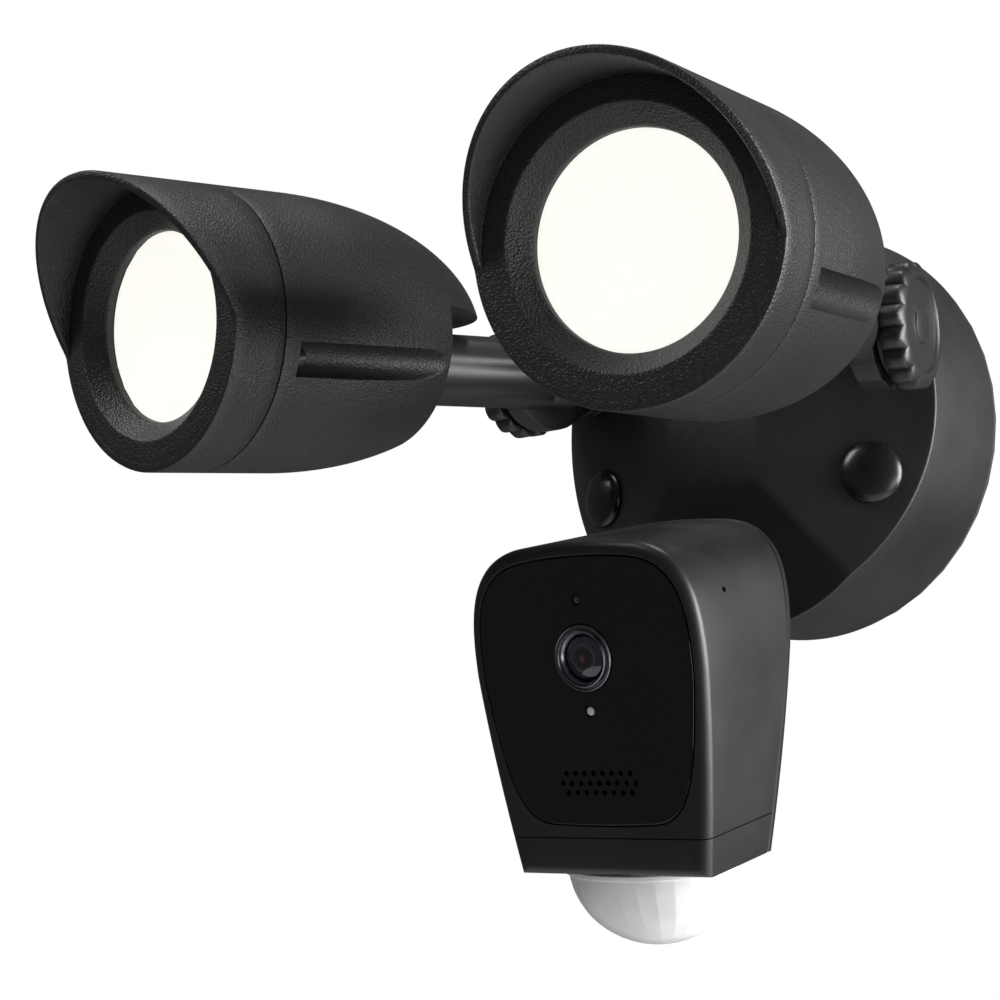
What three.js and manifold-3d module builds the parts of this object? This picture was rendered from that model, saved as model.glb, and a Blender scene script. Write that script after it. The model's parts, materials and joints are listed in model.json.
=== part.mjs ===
// Wall-mounted floodlight security camera: a round faceted canopy, two bullet lamp heads on
// swivel arms, and a camera head with a motion sensor dome hung below.
// Millimetres. +Z is up, the wall is the plane y = 0 and the front of the object faces -Y.
import * as THREE from 'three';
import { mergeVertices } from 'three/addons/utils/BufferGeometryUtils.js';
import Module from 'manifold-3d';

const wasm = await Module();
wasm.setup();
const { Manifold, Mesh: SolidMesh } = wasm;

// ---- driving sizes -------------------------------------------------------------------------
const GAP = 0.3;                       // clearance between pieces that meet
const RAD = Math.PI / 180;
const FAR = 400;                       // larger than the object, for half-space cutters

const canopy = {
  radius: 62.5, wall: 2.5, depth: 57.5, gasket: 2.5,
  faceHalfX: 15.2, faceHalfZ: 21, sideSlope: 20 * RAD, lowerSlope: 17 * RAD,
};
const plate = {
  halfX: 51, halfZ: 30, thick: 1.8, margin: 8, wireHole: 9, wireZ: 19,
  slotX: 42, slotReach: 4, slotRadius: 2.6,
};
const grommet = { flange: 2.6, lip: 2, bore: 5 };
const driver = { halfX: 30, front: -30, bottom: -36, top: 6 };
const terminals = {
  left: 14, right: 40, front: -17, bottom: 10, top: 24,
  screwX: [18.5, 27, 35.5], screwZ: 17, screwRadius: 2.4, screwEnd: -9,
};
const screw = {
  x: 45.4, z: -20, seat: 6, capRadius: 8.7, capStem: 3.4, head: 4, headHeight: 2.6,
  slotDepth: 1.6, slotHalf: 0.5, shank: 2, column: 6.5, columnEnd: -6, recess: 5.6,
};
const arm = {
  pivot: [52.8, -63, 16.5],          // tilt axis of the right arm, mirrored for the left
  azimuth: 8.2 * RAD, droop: 5.5 * RAD,
  tube: 10.4, bore: 6, lug: 16.5, lugWidth: 7, knob: 17.5, knobWidth: 9.5, flutes: 16,
  neck: 8.5, stem: 6, flange: 10.8, socketX: 49.5, bolt: 3,
};
const lamp = {
  reach: 148, radius: 37.6, length: 110, straight: 38, seam: 15.6, notch: 78, notchTop: 5, axisDrop: 7.5,
  wall: 2.4, cone: 29.4, lens: 24.6, coneDepth: 4.5, pocket: 31, visorLow: 1.5, visorLong: 20,
  channelAngle: -20 * RAD, channelAxis: 36.2, channelRadius: 4.4, channelStart: 20.5, screwAxis: 34.6,
};
const head = {
  origin: [0, -60, -59], pivotY: -63, droop: 12 * RAD,
  front: -63.5, top: 29.3, bottom: -59.6, band: -49.3, seamY: -80, bulge: 12, wall: 2.2,
  lensZ: -1.5, sensorZ: 13.9, lightZ: -15.6, speakerZ: -34.6,
  domeY: -44, domeX: 26, domeDepth: 18, domeDrop: 22.4,
};

const bracket = { socketZ: -48.5, foot: 10.4, footThick: 3, stem: 4, stemEnd: 8, eye: 8.5, low: 9.5, high: 14 };
const yoke = { inner: 6.3, outer: 10.3, swing: 10.6, barrel: 6.5, spigot: 2.5, room: 6.8 };
const hinge = { pin: 2.2, pinEnd: 19, cap: 4, knob: 5.4, knobEnd: 20, knobTip: 22.5, tipRadius: 3.4 };
const lens = { bore: 9.2, ring: 8.9, barrel: 5.8, barrelEnd: 11.6 };
const speaker = { hole: 0.75, pitch: 2.9, rows: [[8, 2.6], [9, 0], [8, -2.6]], halfX: 12, halfZ: 4.5 };

// ---- finishes ------------------------------------------------------------------------------
const finish = (color, roughness, metalness = 0) => (
  () => new THREE.MeshStandardMaterial({ color, roughness, metalness })
);
const satinBlack = finish(0x17181a, 0.45);
const grainBlack = finish(0x1b1b1d, 0.6);
const glossBlack = finish(0x060607, 0.08);
const rubber = finish(0x101010, 0.9);
const steel = finish(0xa9adb2, 0.35, 1);
const zinc = finish(0xb9bbbe, 0.45, 1);
const circuit = finish(0x16402a, 0.6);
const white = finish(0xf3f4f2, 0.5);
const glow = finish(0xfffaf0, 0.4);
const glass = finish(0x141c28, 0.05);
const silver = finish(0x9a9da1, 0.3, 1);
const greyPlastic = finish(0x55585c, 0.55);

// ---- solid helpers -------------------------------------------------------------------------
// A closed geometry as a solid. Lathe and extrude windings follow the direction of the profile,
// so a geometry that comes out inside out has its triangles turned round.
function solid(geometry) {
  const bare = geometry.clone();
  for (const name of Object.keys(bare.attributes)) {
    if (name !== 'position') bare.deleteAttribute(name);
  }
  const merged = mergeVertices(bare, 1e-4);
  const vertProperties = new Float32Array(merged.attributes.position.array);
  const triVerts = new Uint32Array(merged.index.array);
  const body = new Manifold(new SolidMesh({ numProp: 3, vertProperties, triVerts }));
  if (body.volume() > 0) return body;
  for (let i = 0; i < triVerts.length; i += 3) {
    [triVerts[i + 1], triVerts[i + 2]] = [triVerts[i + 2], triVerts[i + 1]];
  }
  return new Manifold(new SolidMesh({ numProp: 3, vertProperties, triVerts }));
}

function geometryOf(body) {
  const mesh = body.getMesh();
  const geometry = new THREE.BufferGeometry();
  const positions = new Float32Array(mesh.numVert * 3);
  for (let i = 0; i < mesh.numVert; i += 1) {
    for (let k = 0; k < 3; k += 1) positions[3 * i + k] = mesh.vertProperties[i * mesh.numProp + k];
  }
  geometry.setAttribute('position', new THREE.BufferAttribute(positions, 3));
  geometry.setIndex(new THREE.BufferAttribute(new Uint32Array(mesh.triVerts), 1));
  const flat = geometry.toNonIndexed();
  flat.computeVertexNormals();
  return flat;
}

// A solid of revolution about Y from [radius, y] pairs that start and end on the axis.
function turned(profile, segments = 48) {
  const points = profile.map(([r, y]) => new THREE.Vector2(r, y));
  return solid(new THREE.LatheGeometry(points, segments));
}

// A round bar between two stations of one axis ('x', 'y' or 'z'), centred on [a, b] of the others.
function bar(axis, radius, from, to, centre = [0, 0], segments = 24, endRadius = radius) {
  const geometry = new THREE.CylinderGeometry(endRadius, radius, to - from, segments);
  geometry.translate(0, (from + to) / 2, 0);
  if (axis === 'x') geometry.rotateZ(-Math.PI / 2);
  if (axis === 'z') geometry.rotateX(Math.PI / 2);
  const [a, b] = centre;
  if (axis === 'x') geometry.translate(0, a, b);
  if (axis === 'y') geometry.translate(a, 0, b);
  if (axis === 'z') geometry.translate(a, b, 0);
  return solid(geometry);
}

function ring(axis, outer, inner, from, to, centre, segments = 24) {
  return bar(axis, outer, from, to, centre, segments)
    .subtract(bar(axis, inner, from - 1, to + 1, centre, segments));
}

function hexNut(radius, bore, from, to) {
  return bar('y', radius, from, to, [0, 0], 6).subtract(bar('y', bore, from - 1, to + 1));
}

function block(x0, x1, y0, y1, z0, z1) {
  const geometry = new THREE.BoxGeometry(x1 - x0, y1 - y0, z1 - z0);
  geometry.translate((x0 + x1) / 2, (y0 + y1) / 2, (z0 + z1) / 2);
  return solid(geometry);
}

const joined = (...bodies) => bodies.reduce((sum, body) => sum.add(body));
const cutBy = (body, ...tools) => tools.reduce((rest, tool) => rest.subtract(tool), body);

function addPiece(parent, name, material, body) {
  const mesh = new THREE.Mesh(geometryOf(body), material());
  mesh.name = name;
  parent.add(mesh);
  return mesh;
}

function addGroup(parent, position, azimuth = 0, droop = 0) {
  const group = new THREE.Group();
  group.position.set(...position);
  group.rotation.set(droop, 0, azimuth, 'ZYX');
  parent.add(group);
  return group;
}

// ---- canopy --------------------------------------------------------------------------------
const sideRise = Math.tan(canopy.sideSlope);
const lowerRise = Math.tan(canopy.lowerSlope);
const sideFaceY = (x) => -canopy.depth + (x - canopy.faceHalfX) * sideRise;
const lowerFaceY = (z) => -canopy.depth + (-z - canopy.faceHalfZ) * lowerRise;

// A disc whose front is a truncated pyramid, shrunk by an inset all round.
function canopyForm(inset, back) {
  const front = -canopy.depth + inset;
  const halfX = canopy.faceHalfX - inset * Math.tan(canopy.sideSlope / 2);
  const halfZ = canopy.faceHalfZ - inset * Math.tan(canopy.lowerSlope / 2);
  const run = back - front;
  const corners = [];
  for (const sx of [-1, 1]) {
    for (const sz of [-1, 1]) {
      corners.push([sx * halfX, front, sz * halfZ]);
      corners.push([sx * (halfX + run / sideRise), back, sz * (halfZ + run / lowerRise)]);
    }
  }
  const round = bar('y', canopy.radius - inset, front - 1, back, [0, 0], 72);
  return Manifold.hull(corners).intersect(round);
}

function screwColumn(x) {
  return bar('y', screw.column, -canopy.depth, screw.columnEnd, [x, screw.z], 20)
    .intersect(canopyForm(canopy.wall / 2, 0));
}

function buildCanopy(root) {
  let cover = canopyForm(0, -canopy.gasket - GAP).subtract(canopyForm(canopy.wall, 1));
  for (const side of [-1, 1]) {
    const x = side * screw.x;
    cover = cover.add(screwColumn(x));
    cover = cutBy(cover,
      bar('y', screw.recess, -60, sideFaceY(screw.x) + screw.seat, [x, screw.z], 24),
      bar('y', screw.shank + GAP, -60, 0, [x, screw.z], 16),
      inSocket(side, bar('y', arm.stem + GAP, -12, 12, [0, 0], 24)));
  }
  cover = cover.subtract(onLowerFace(bar('y', 4.3, -8, 8, [0, 0], 20)));
  addPiece(root, 'canopy_cover', satinBlack, cover);
  addPiece(root, 'canopy_gasket', rubber,
    ring('y', canopy.radius - 0.7, canopy.radius - 7, -canopy.gasket, 0, [0, 0], 40));

  let flat = block(-plate.halfX, plate.halfX, -plate.thick, 0, -plate.halfZ, plate.halfZ)
    .intersect(bar('y', canopy.radius - plate.margin, -plate.thick - 1, 1, [0, 0], 64));
  flat = flat.subtract(bar('y', plate.wireHole, -5, 5, [0, plate.wireZ], 32));
  for (const side of [-1, 1]) {
    const slot = Manifold.hull([
      bar('y', plate.slotRadius, -5, 5, [side * (plate.slotX - plate.slotReach), 0], 12),
      bar('y', plate.slotRadius, -5, 5, [side * (plate.slotX + plate.slotReach), 0], 12),
    ]);
    flat = cutBy(flat, slot, bar('y', screw.shank + GAP, -5, 5, [side * screw.x, screw.z], 16));
  }
  addPiece(root, 'mounting_plate', zinc, flat);

  const neck = plate.wireHole - GAP;
  const front = -plate.thick - GAP;
  addPiece(root, 'wire_grommet', rubber, cutBy(
    joined(
      bar('y', neck, front, -GAP, [0, plate.wireZ]),
      bar('y', neck + grommet.flange, front - grommet.lip, front, [0, plate.wireZ])),
    bar('y', grommet.bore, -9, 3, [0, plate.wireZ])));
  addPiece(root, 'light_driver', white,
    block(-driver.halfX, driver.halfX, driver.front, front, driver.bottom, driver.top));
  const terminalHole = (x) => bar('y', terminals.screwRadius, terminals.front - 3, terminals.screwEnd,
    [x, terminals.screwZ], 12);
  addPiece(root, 'terminal_block', greyPlastic, cutBy(
    block(terminals.left, terminals.right, terminals.front, front, terminals.bottom, terminals.top),
    ...terminals.screwX.map(terminalHole)));

  for (const [side, name] of [[-1, 'left'], [1, 'right']]) {
    const x = side * screw.x;
    const seat = sideFaceY(screw.x) + screw.seat - GAP;
    addPiece(root, `canopy_screw_${name}`, steel, cutBy(
      joined(
        bar('y', screw.head, seat - screw.headHeight, seat, [x, screw.z], 20),
        bar('y', screw.shank, seat - 0.5, -0.4, [x, screw.z], 16)),
      block(x - 3, x + 3, seat - 4, seat - screw.slotDepth,
        screw.z - screw.slotHalf, screw.z + screw.slotHalf)));
    const cap = joined(
      turned([[0, -3.6], [3.6, -3.1], [6.6, -2], [8.1, -0.9], [screw.capRadius, -GAP / 2], [0, -GAP / 2]], 28),
      bar('y', screw.capStem, -0.5, 2, [0, 0], 20));
    addPiece(root, `screw_cap_${name}`, glossBlack,
      cap.rotate([0, 0, side * canopy.sideSlope / RAD])
        .translate([x, sideFaceY(screw.x), screw.z]));
  }
}

// Frames on the canopy's facets, +y pointing into the canopy along the facet's normal.
function inSocket(side, body) {
  return body.rotate([0, 0, side * canopy.sideSlope / RAD])
    .translate([side * arm.socketX, sideFaceY(arm.socketX), arm.pivot[2]]);
}
function onLowerFace(body) {
  return body.rotate([canopy.lowerSlope / RAD, 0, 0])
    .translate([0, lowerFaceY(bracket.socketZ), bracket.socketZ]);
}

// ---- arms ----------------------------------------------------------------------------------
// Shapes are drawn for the right arm, and mirrored across x = 0 for the left.
const handed = (side, body) => (side < 0 ? body.mirror([1, 0, 0]) : body);

// From the tilt axis frame (x outwards along the axis, y back along the lamp) to the row's frame.
function atPivot(body) {
  return body.rotate([0, 0, arm.azimuth / RAD]).translate(arm.pivot);
}
const pivotToSocket = () => {
  const [px, py] = arm.pivot;
  const dx = arm.socketX - px;
  const dy = sideFaceY(arm.socketX) - py;
  return Math.hypot(dx, dy);
};

function flutedKnob() {
  const start = GAP / 2 + arm.lugWidth + GAP;
  const collar = start + 2.2;
  const end = start + arm.knobWidth;
  const outline = new THREE.Shape();
  const steps = arm.flutes * 3;
  for (let i = 0; i <= steps; i += 1) {
    const angle = (i / steps) * 2 * Math.PI;
    const radius = arm.knob - 0.9 + 0.9 * Math.cos(arm.flutes * angle);
    if (i === 0) outline.moveTo(radius * Math.cos(angle), radius * Math.sin(angle));
    else if (i < steps) outline.lineTo(radius * Math.cos(angle), radius * Math.sin(angle));
  }
  const grip = new THREE.ExtrudeGeometry(outline, { depth: end - collar, bevelEnabled: false });
  grip.rotateY(Math.PI / 2);
  grip.translate(collar, 0, 0);
  const domed = turned([[0, -30], [40, -30], [40, end - 3], [15.5, end - 1.2], [14, end], [0, end]], 24)
    .rotate([0, 0, -90]);
  return cutBy(
    joined(bar('x', 13.5, start, collar + 0.5), solid(grip).intersect(domed)),
    bar('x', arm.bolt + GAP, start - 1, end - 2, [0, 0], 16));
}

function buildArm(root, side, name) {
  const lugEnd = GAP / 2 + arm.lugWidth;
  const reach = pivotToSocket();
  const flange = joined(
    bar('y', arm.stem, -2.6, 9, [0, 0], 24),
    bar('y', arm.flange, -5, -2.4, [0, 0], 32),
    bar('y', arm.neck, -reach - 1, -2.6, [0, 0], 28));
  const lug = atPivot(bar('x', arm.lug, GAP / 2, lugEnd, [0, 0], 32))
    .subtract(inSocket(1, bar('y', arm.flange, -2.4, 5)));
  const clear = atPivot(joined(
    bar('x', arm.tube + 0.6, -30, GAP / 2, [0, 0], 24),
    bar('x', arm.knob + 0.4, lugEnd, lugEnd + 30, [0, 0], 24),
    bar('x', arm.bolt + GAP, -30, 30, [0, 0], 16)));
  const wireWay = bar('y', 3.2, -9, 12, [0, 0], 16);
  addPiece(root, `${name}_arm_base`, satinBlack, handed(side, cutBy(
    joined(inSocket(1, flange), lug), clear, inSocket(1, wireWay))));
  addPiece(root, `${name}_arm_seal`, rubber, handed(side, inSocket(1,
    ring('y', arm.flange - 0.4, arm.stem + GAP, -2.4 + GAP / 2, -GAP, [0, 0], 32))));
  addPiece(root, `${name}_arm_nut`, zinc, handed(side, inSocket(1,
    hexNut(9.2, arm.stem + GAP, canopy.wall + GAP, canopy.wall + 5.3))));
  addPiece(root, `${name}_tilt_knob`, satinBlack, handed(side, atPivot(flutedKnob())));

  // Everything from here on tilts about the arm's pivot with the lamp.
  const tilting = addGroup(root, [side * arm.pivot[0], arm.pivot[1], arm.pivot[2]],
    side * arm.azimuth, arm.droop);
  const tubeFront = lamp.notch - lamp.reach - 7;
  const tube = joined(
    bar('y', arm.tube, tubeFront, 0, [0, 0], 40),
    bar('x', arm.tube, -arm.tube, -GAP / 2, [0, 0], 40));
  addPiece(tilting, `${name}_lamp_arm`, satinBlack, handed(side, cutBy(
    tube,
    bar('x', arm.lug + 0.5, -GAP / 2, 30, [0, 0], 40),
    bar('x', arm.knob + 0.5, lugEnd, 30),
    block(0, 30, 0, 60, -60, 60),
    bar('x', arm.bolt + GAP, -30, 30, [0, 0], 16),
    bar('y', arm.bore, tubeFront - 1, -32, [0, 0], 24))));
  const boltEnd = lugEnd + arm.knobWidth - 2.2;
  addPiece(tilting, `${name}_tilt_bolt`, steel, handed(side, joined(
    bar('x', arm.bolt, -arm.tube - 0.5, boltEnd, [0, 0], 16),
    bar('x', 5.4, -arm.tube - 3.4, -arm.tube - GAP, [0, 0], 6))));
  const lampFrame = addGroup(tilting, [0, -lamp.reach, lamp.axisDrop]);
  buildLamp(lampFrame, side, name);
}

// ---- lamps ---------------------------------------------------------------------------------
// In the lamp's frame y runs back from the rim of the bezel along the axis of the lamp.
function lampRadius(y) {
  if (y <= lamp.straight) return lamp.radius;
  const t = (y - lamp.straight) / (lamp.length - lamp.straight);
  return lamp.radius * Math.sqrt(Math.max(0, 1 - t * t));
}

function lampProfile(from, to, inset, steps) {
  const points = [[0, from], [lampRadius(from) - inset, from]];
  for (let i = 0; i <= steps; i += 1) {
    const y = lamp.straight + (to - lamp.straight) * Math.sin((i / steps) * Math.PI / 2);
    points.push([Math.max(lampRadius(y) - inset, 0), y]);
  }
  const last = points[points.length - 1];
  if (last[0] > 0) points.push([0, to]);
  return points;
}

function aroundLamp(radius, axisRadius, from, to, segments) {
  return [-1, 1].map((side) => bar('y', radius, from, to,
    [side * axisRadius * Math.cos(lamp.channelAngle), axisRadius * Math.sin(lamp.channelAngle)],
    segments));
}

function buildBezel() {
  const lip = lamp.coneDepth + 2;
  const back = lamp.seam - GAP / 2;
  const collar = turned([
    [0, 0], [lamp.radius - 0.8, 0], [lamp.radius, 0.8], [lamp.radius, back], [0, back],
  ], 48);
  const opening = turned([
    [0, -1], [lamp.cone + 0.9, -1], [lamp.lens, lamp.coneDepth], [lamp.lens, lip],
    [lamp.pocket, lip], [lamp.pocket, back + 1], [0, back + 1],
  ], 48);
  const slope = Math.atan((lamp.visorLong - lamp.visorLow) / lamp.radius);
  const ahead = block(-FAR, FAR, -FAR, 0, -FAR, FAR)
    .rotate([slope / RAD, 0, 0]).translate([0, -lamp.visorLow, 0]);
  const visor = ring('y', lamp.radius, lamp.radius - 2.2, -lamp.visorLong - 4, 1, [0, 0], 48);
  return cutBy(
    joined(collar.subtract(opening), visor.subtract(ahead)),
    ...aroundLamp(1.5, lamp.screwAxis, 7, back + 1, 8));
}

function buildShell() {
  const front = lamp.seam + GAP / 2;
  const cavityEnd = lamp.notch - 3;
  const outer = cutBy(
    turned(lampProfile(front, lamp.length, 0, 9), 48),
    block(-60, 60, lamp.notch, 130, -60, lamp.notchTop));
  const cavity = turned(lampProfile(front - 1, cavityEnd, lamp.wall, 3), 24);
  return cutBy(
    outer,
    cutBy(cavity, ...aroundLamp(7, lamp.channelAxis, 0, 90, 12)),
    ...aroundLamp(lamp.channelRadius, lamp.channelAxis, lamp.channelStart, 130, 12),
    ...aroundLamp(1.7, lamp.screwAxis, 0, lamp.channelStart + 1, 8),
    bar('y', arm.tube + GAP, cavityEnd - 1, 90, [0, -lamp.axisDrop], 28));
}

function buildLedBoard() {
  const chips = [];
  for (let i = 0; i < 8; i += 1) {
    const angle = (i / 8) * 2 * Math.PI;
    const [x, z] = [15 * Math.cos(angle), 15 * Math.sin(angle)];
    chips.push(block(x - 1.6, x + 1.6, 13.2, 14.2, z - 1.6, z + 1.6));
  }
  return joined(bar('y', lamp.pocket - 0.4, 14, 15.6, [0, 0], 24), ...chips);
}

function buildHeatSink() {
  const fins = [-20, -10, 0, 10, 20].map((x) => {
    const half = Math.sqrt(28.6 ** 2 - (Math.abs(x) + 1) ** 2) - 0.5;
    return block(x - 1, x + 1, 18, 52, -half, half);
  });
  return joined(bar('y', 28.6, 15.9, 19, [0, 0], 24), ...fins);
}

function buildLamp(frame, side, name) {
  const shape = (body) => handed(side, body);
  addPiece(frame, `${name}_lamp_bezel`, grainBlack, shape(buildBezel()));
  addPiece(frame, `${name}_lamp_shell`, grainBlack, shape(buildShell()));
  const lip = lamp.coneDepth + 2;
  const inner = lamp.pocket - 0.4;
  addPiece(frame, `${name}_lamp_gasket`, rubber,
    shape(ring('y', inner, lamp.lens + 1, lip + GAP, lip + 1.3, [0, 0], 24)));
  addPiece(frame, `${name}_lamp_lens`, glow, shape(turned([
    [0, lip - 0.6], [12, lip - 0.3], [lamp.lens - 0.6, lip + 0.2], [lamp.lens + 0.6, lip + 1.6],
    [inner, lip + 1.6], [inner, lip + 3.6], [0, lip + 3.6],
  ], 28)));
  addPiece(frame, `${name}_lamp_reflector`, white,
    shape(ring('y', inner, 20, lip + 3.9, 13.7, [0, 0], 24)));
  addPiece(frame, `${name}_led_board`, white, shape(buildLedBoard()));
  addPiece(frame, `${name}_heat_sink`, silver, shape(buildHeatSink()));
  const screws = ['inner', 'outer'];
  screws.forEach((place, i) => {
    const floor = lamp.channelStart + GAP;
    const pick = (radius, from, to, segments) => aroundLamp(radius, lamp.screwAxis, from, to, segments)[i];
    addPiece(frame, `${name}_case_screw_${place}`, satinBlack, shape(cutBy(
      joined(pick(2.5, floor, floor + 2.4, 16), pick(1.2, 8, floor + 0.5, 10)),
      pick(1, floor + 1.2, floor + 5, 6))));
  });
}

// ---- camera head ---------------------------------------------------------------------------
function buildMount(root) {
  const py = head.pivotY;
  const pz = head.origin[2];
  const foot = onLowerFace(joined(
    bar('y', bracket.foot, -bracket.footThick, -GAP / 2, [0, 0], 32),
    bar('y', bracket.stem, -1, bracket.stemEnd, [0, 0], 20)));
  const eye = bar('z', bracket.eye, pz + bracket.low, pz + bracket.high, [0, py], 32);
  const web = block(-5.5, 5.5, py, -51.5, pz + bracket.low, pz + bracket.high);
  addPiece(root, 'camera_bracket', satinBlack, cutBy(
    joined(foot, eye, web), bar('z', yoke.spigot + GAP, pz - 5, pz + 30, [0, py], 16)));
  addPiece(root, 'bracket_nut', zinc, onLowerFace(
    hexNut(7.4, 4.3, canopy.wall + GAP, canopy.wall + 4.3)));

  const top = pz + bracket.low - GAP;
  const fork = joined(
    bar('x', yoke.barrel, -yoke.outer, yoke.outer, [py, pz], 28),
    block(-yoke.outer, yoke.outer, py - yoke.barrel, py + yoke.barrel, pz, top))
    .subtract(block(-yoke.inner, yoke.inner, py - 9, py + 9, pz - 9, pz + yoke.room))
    .intersect(bar('z', yoke.swing, pz - 9, pz + 12, [0, py], 40));
  addPiece(root, 'pan_yoke', satinBlack, cutBy(
    joined(fork, bar('z', yoke.spigot, top - 1, pz + bracket.high + GAP, [0, py], 16)),
    bar('x', hinge.pin + GAP, -30, 30, [py, pz], 16)));
  const washer = pz + bracket.high + 2 * GAP;
  addPiece(root, 'pan_washer', steel, bar('z', 4.6, washer, washer + 1.8, [0, py], 24));
  addPiece(root, 'camera_hinge_pin', steel, joined(
    bar('x', hinge.pin, -yoke.outer - 1, hinge.pinEnd, [py, pz], 16),
    bar('x', hinge.cap, -yoke.outer - 3, -yoke.outer - GAP, [py, pz], 20)));
  addPiece(root, 'camera_hinge_knob', satinBlack, cutBy(
    joined(
      bar('x', hinge.knob, yoke.outer + GAP, hinge.knobEnd, [py, pz], 24),
      bar('x', hinge.knob, hinge.knobEnd, hinge.knobTip, [py, pz], 24, hinge.tipRadius)),
    bar('x', hinge.pin + GAP, 10, hinge.pinEnd + GAP, [py, pz], 16)));
}

// The front outline of the camera head, [x, z], shrunk by an inset.
function headOutline(inset, bottom = head.bottom + inset) {
  const half = (w) => w - inset;
  const top = head.top - inset;
  const shape = new THREE.Shape();
  shape.moveTo(-half(29.9), bottom);
  shape.lineTo(half(29.9), bottom);
  shape.quadraticCurveTo(half(35), -30, half(36.8), -6);
  shape.bezierCurveTo(half(37.6), 12, half(36), 27 - inset, half(20), top - 0.9);
  shape.quadraticCurveTo(0, top + 1, -half(20), top - 0.9);
  shape.bezierCurveTo(-half(36), 27 - inset, -half(37.6), 12, -half(36.8), -6);
  shape.quadraticCurveTo(-half(35), -30, -half(29.9), bottom);
  return shape;
}

function headBlock(shape, front, back, bevel) {
  const geometry = new THREE.ExtrudeGeometry(shape, {
    depth: back - front - 2 * bevel, curveSegments: 6, bevelEnabled: bevel > 0,
    bevelThickness: bevel, bevelSize: bevel, bevelOffset: -bevel, bevelSegments: 2,
  });
  geometry.rotateX(Math.PI / 2);
  geometry.translate(0, back - bevel, 0);
  return solid(geometry);
}

function speakerHoles() {
  const holes = [];
  speaker.rows.forEach(([count, dz]) => {
    for (let i = 0; i < count; i += 1) {
      holes.push(bar('y', speaker.hole, head.front - 2, head.front + 3.4,
        [(i - (count - 1) / 2) * speaker.pitch, head.speakerZ + dz], 6));
    }
  });
  return holes;
}

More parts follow.
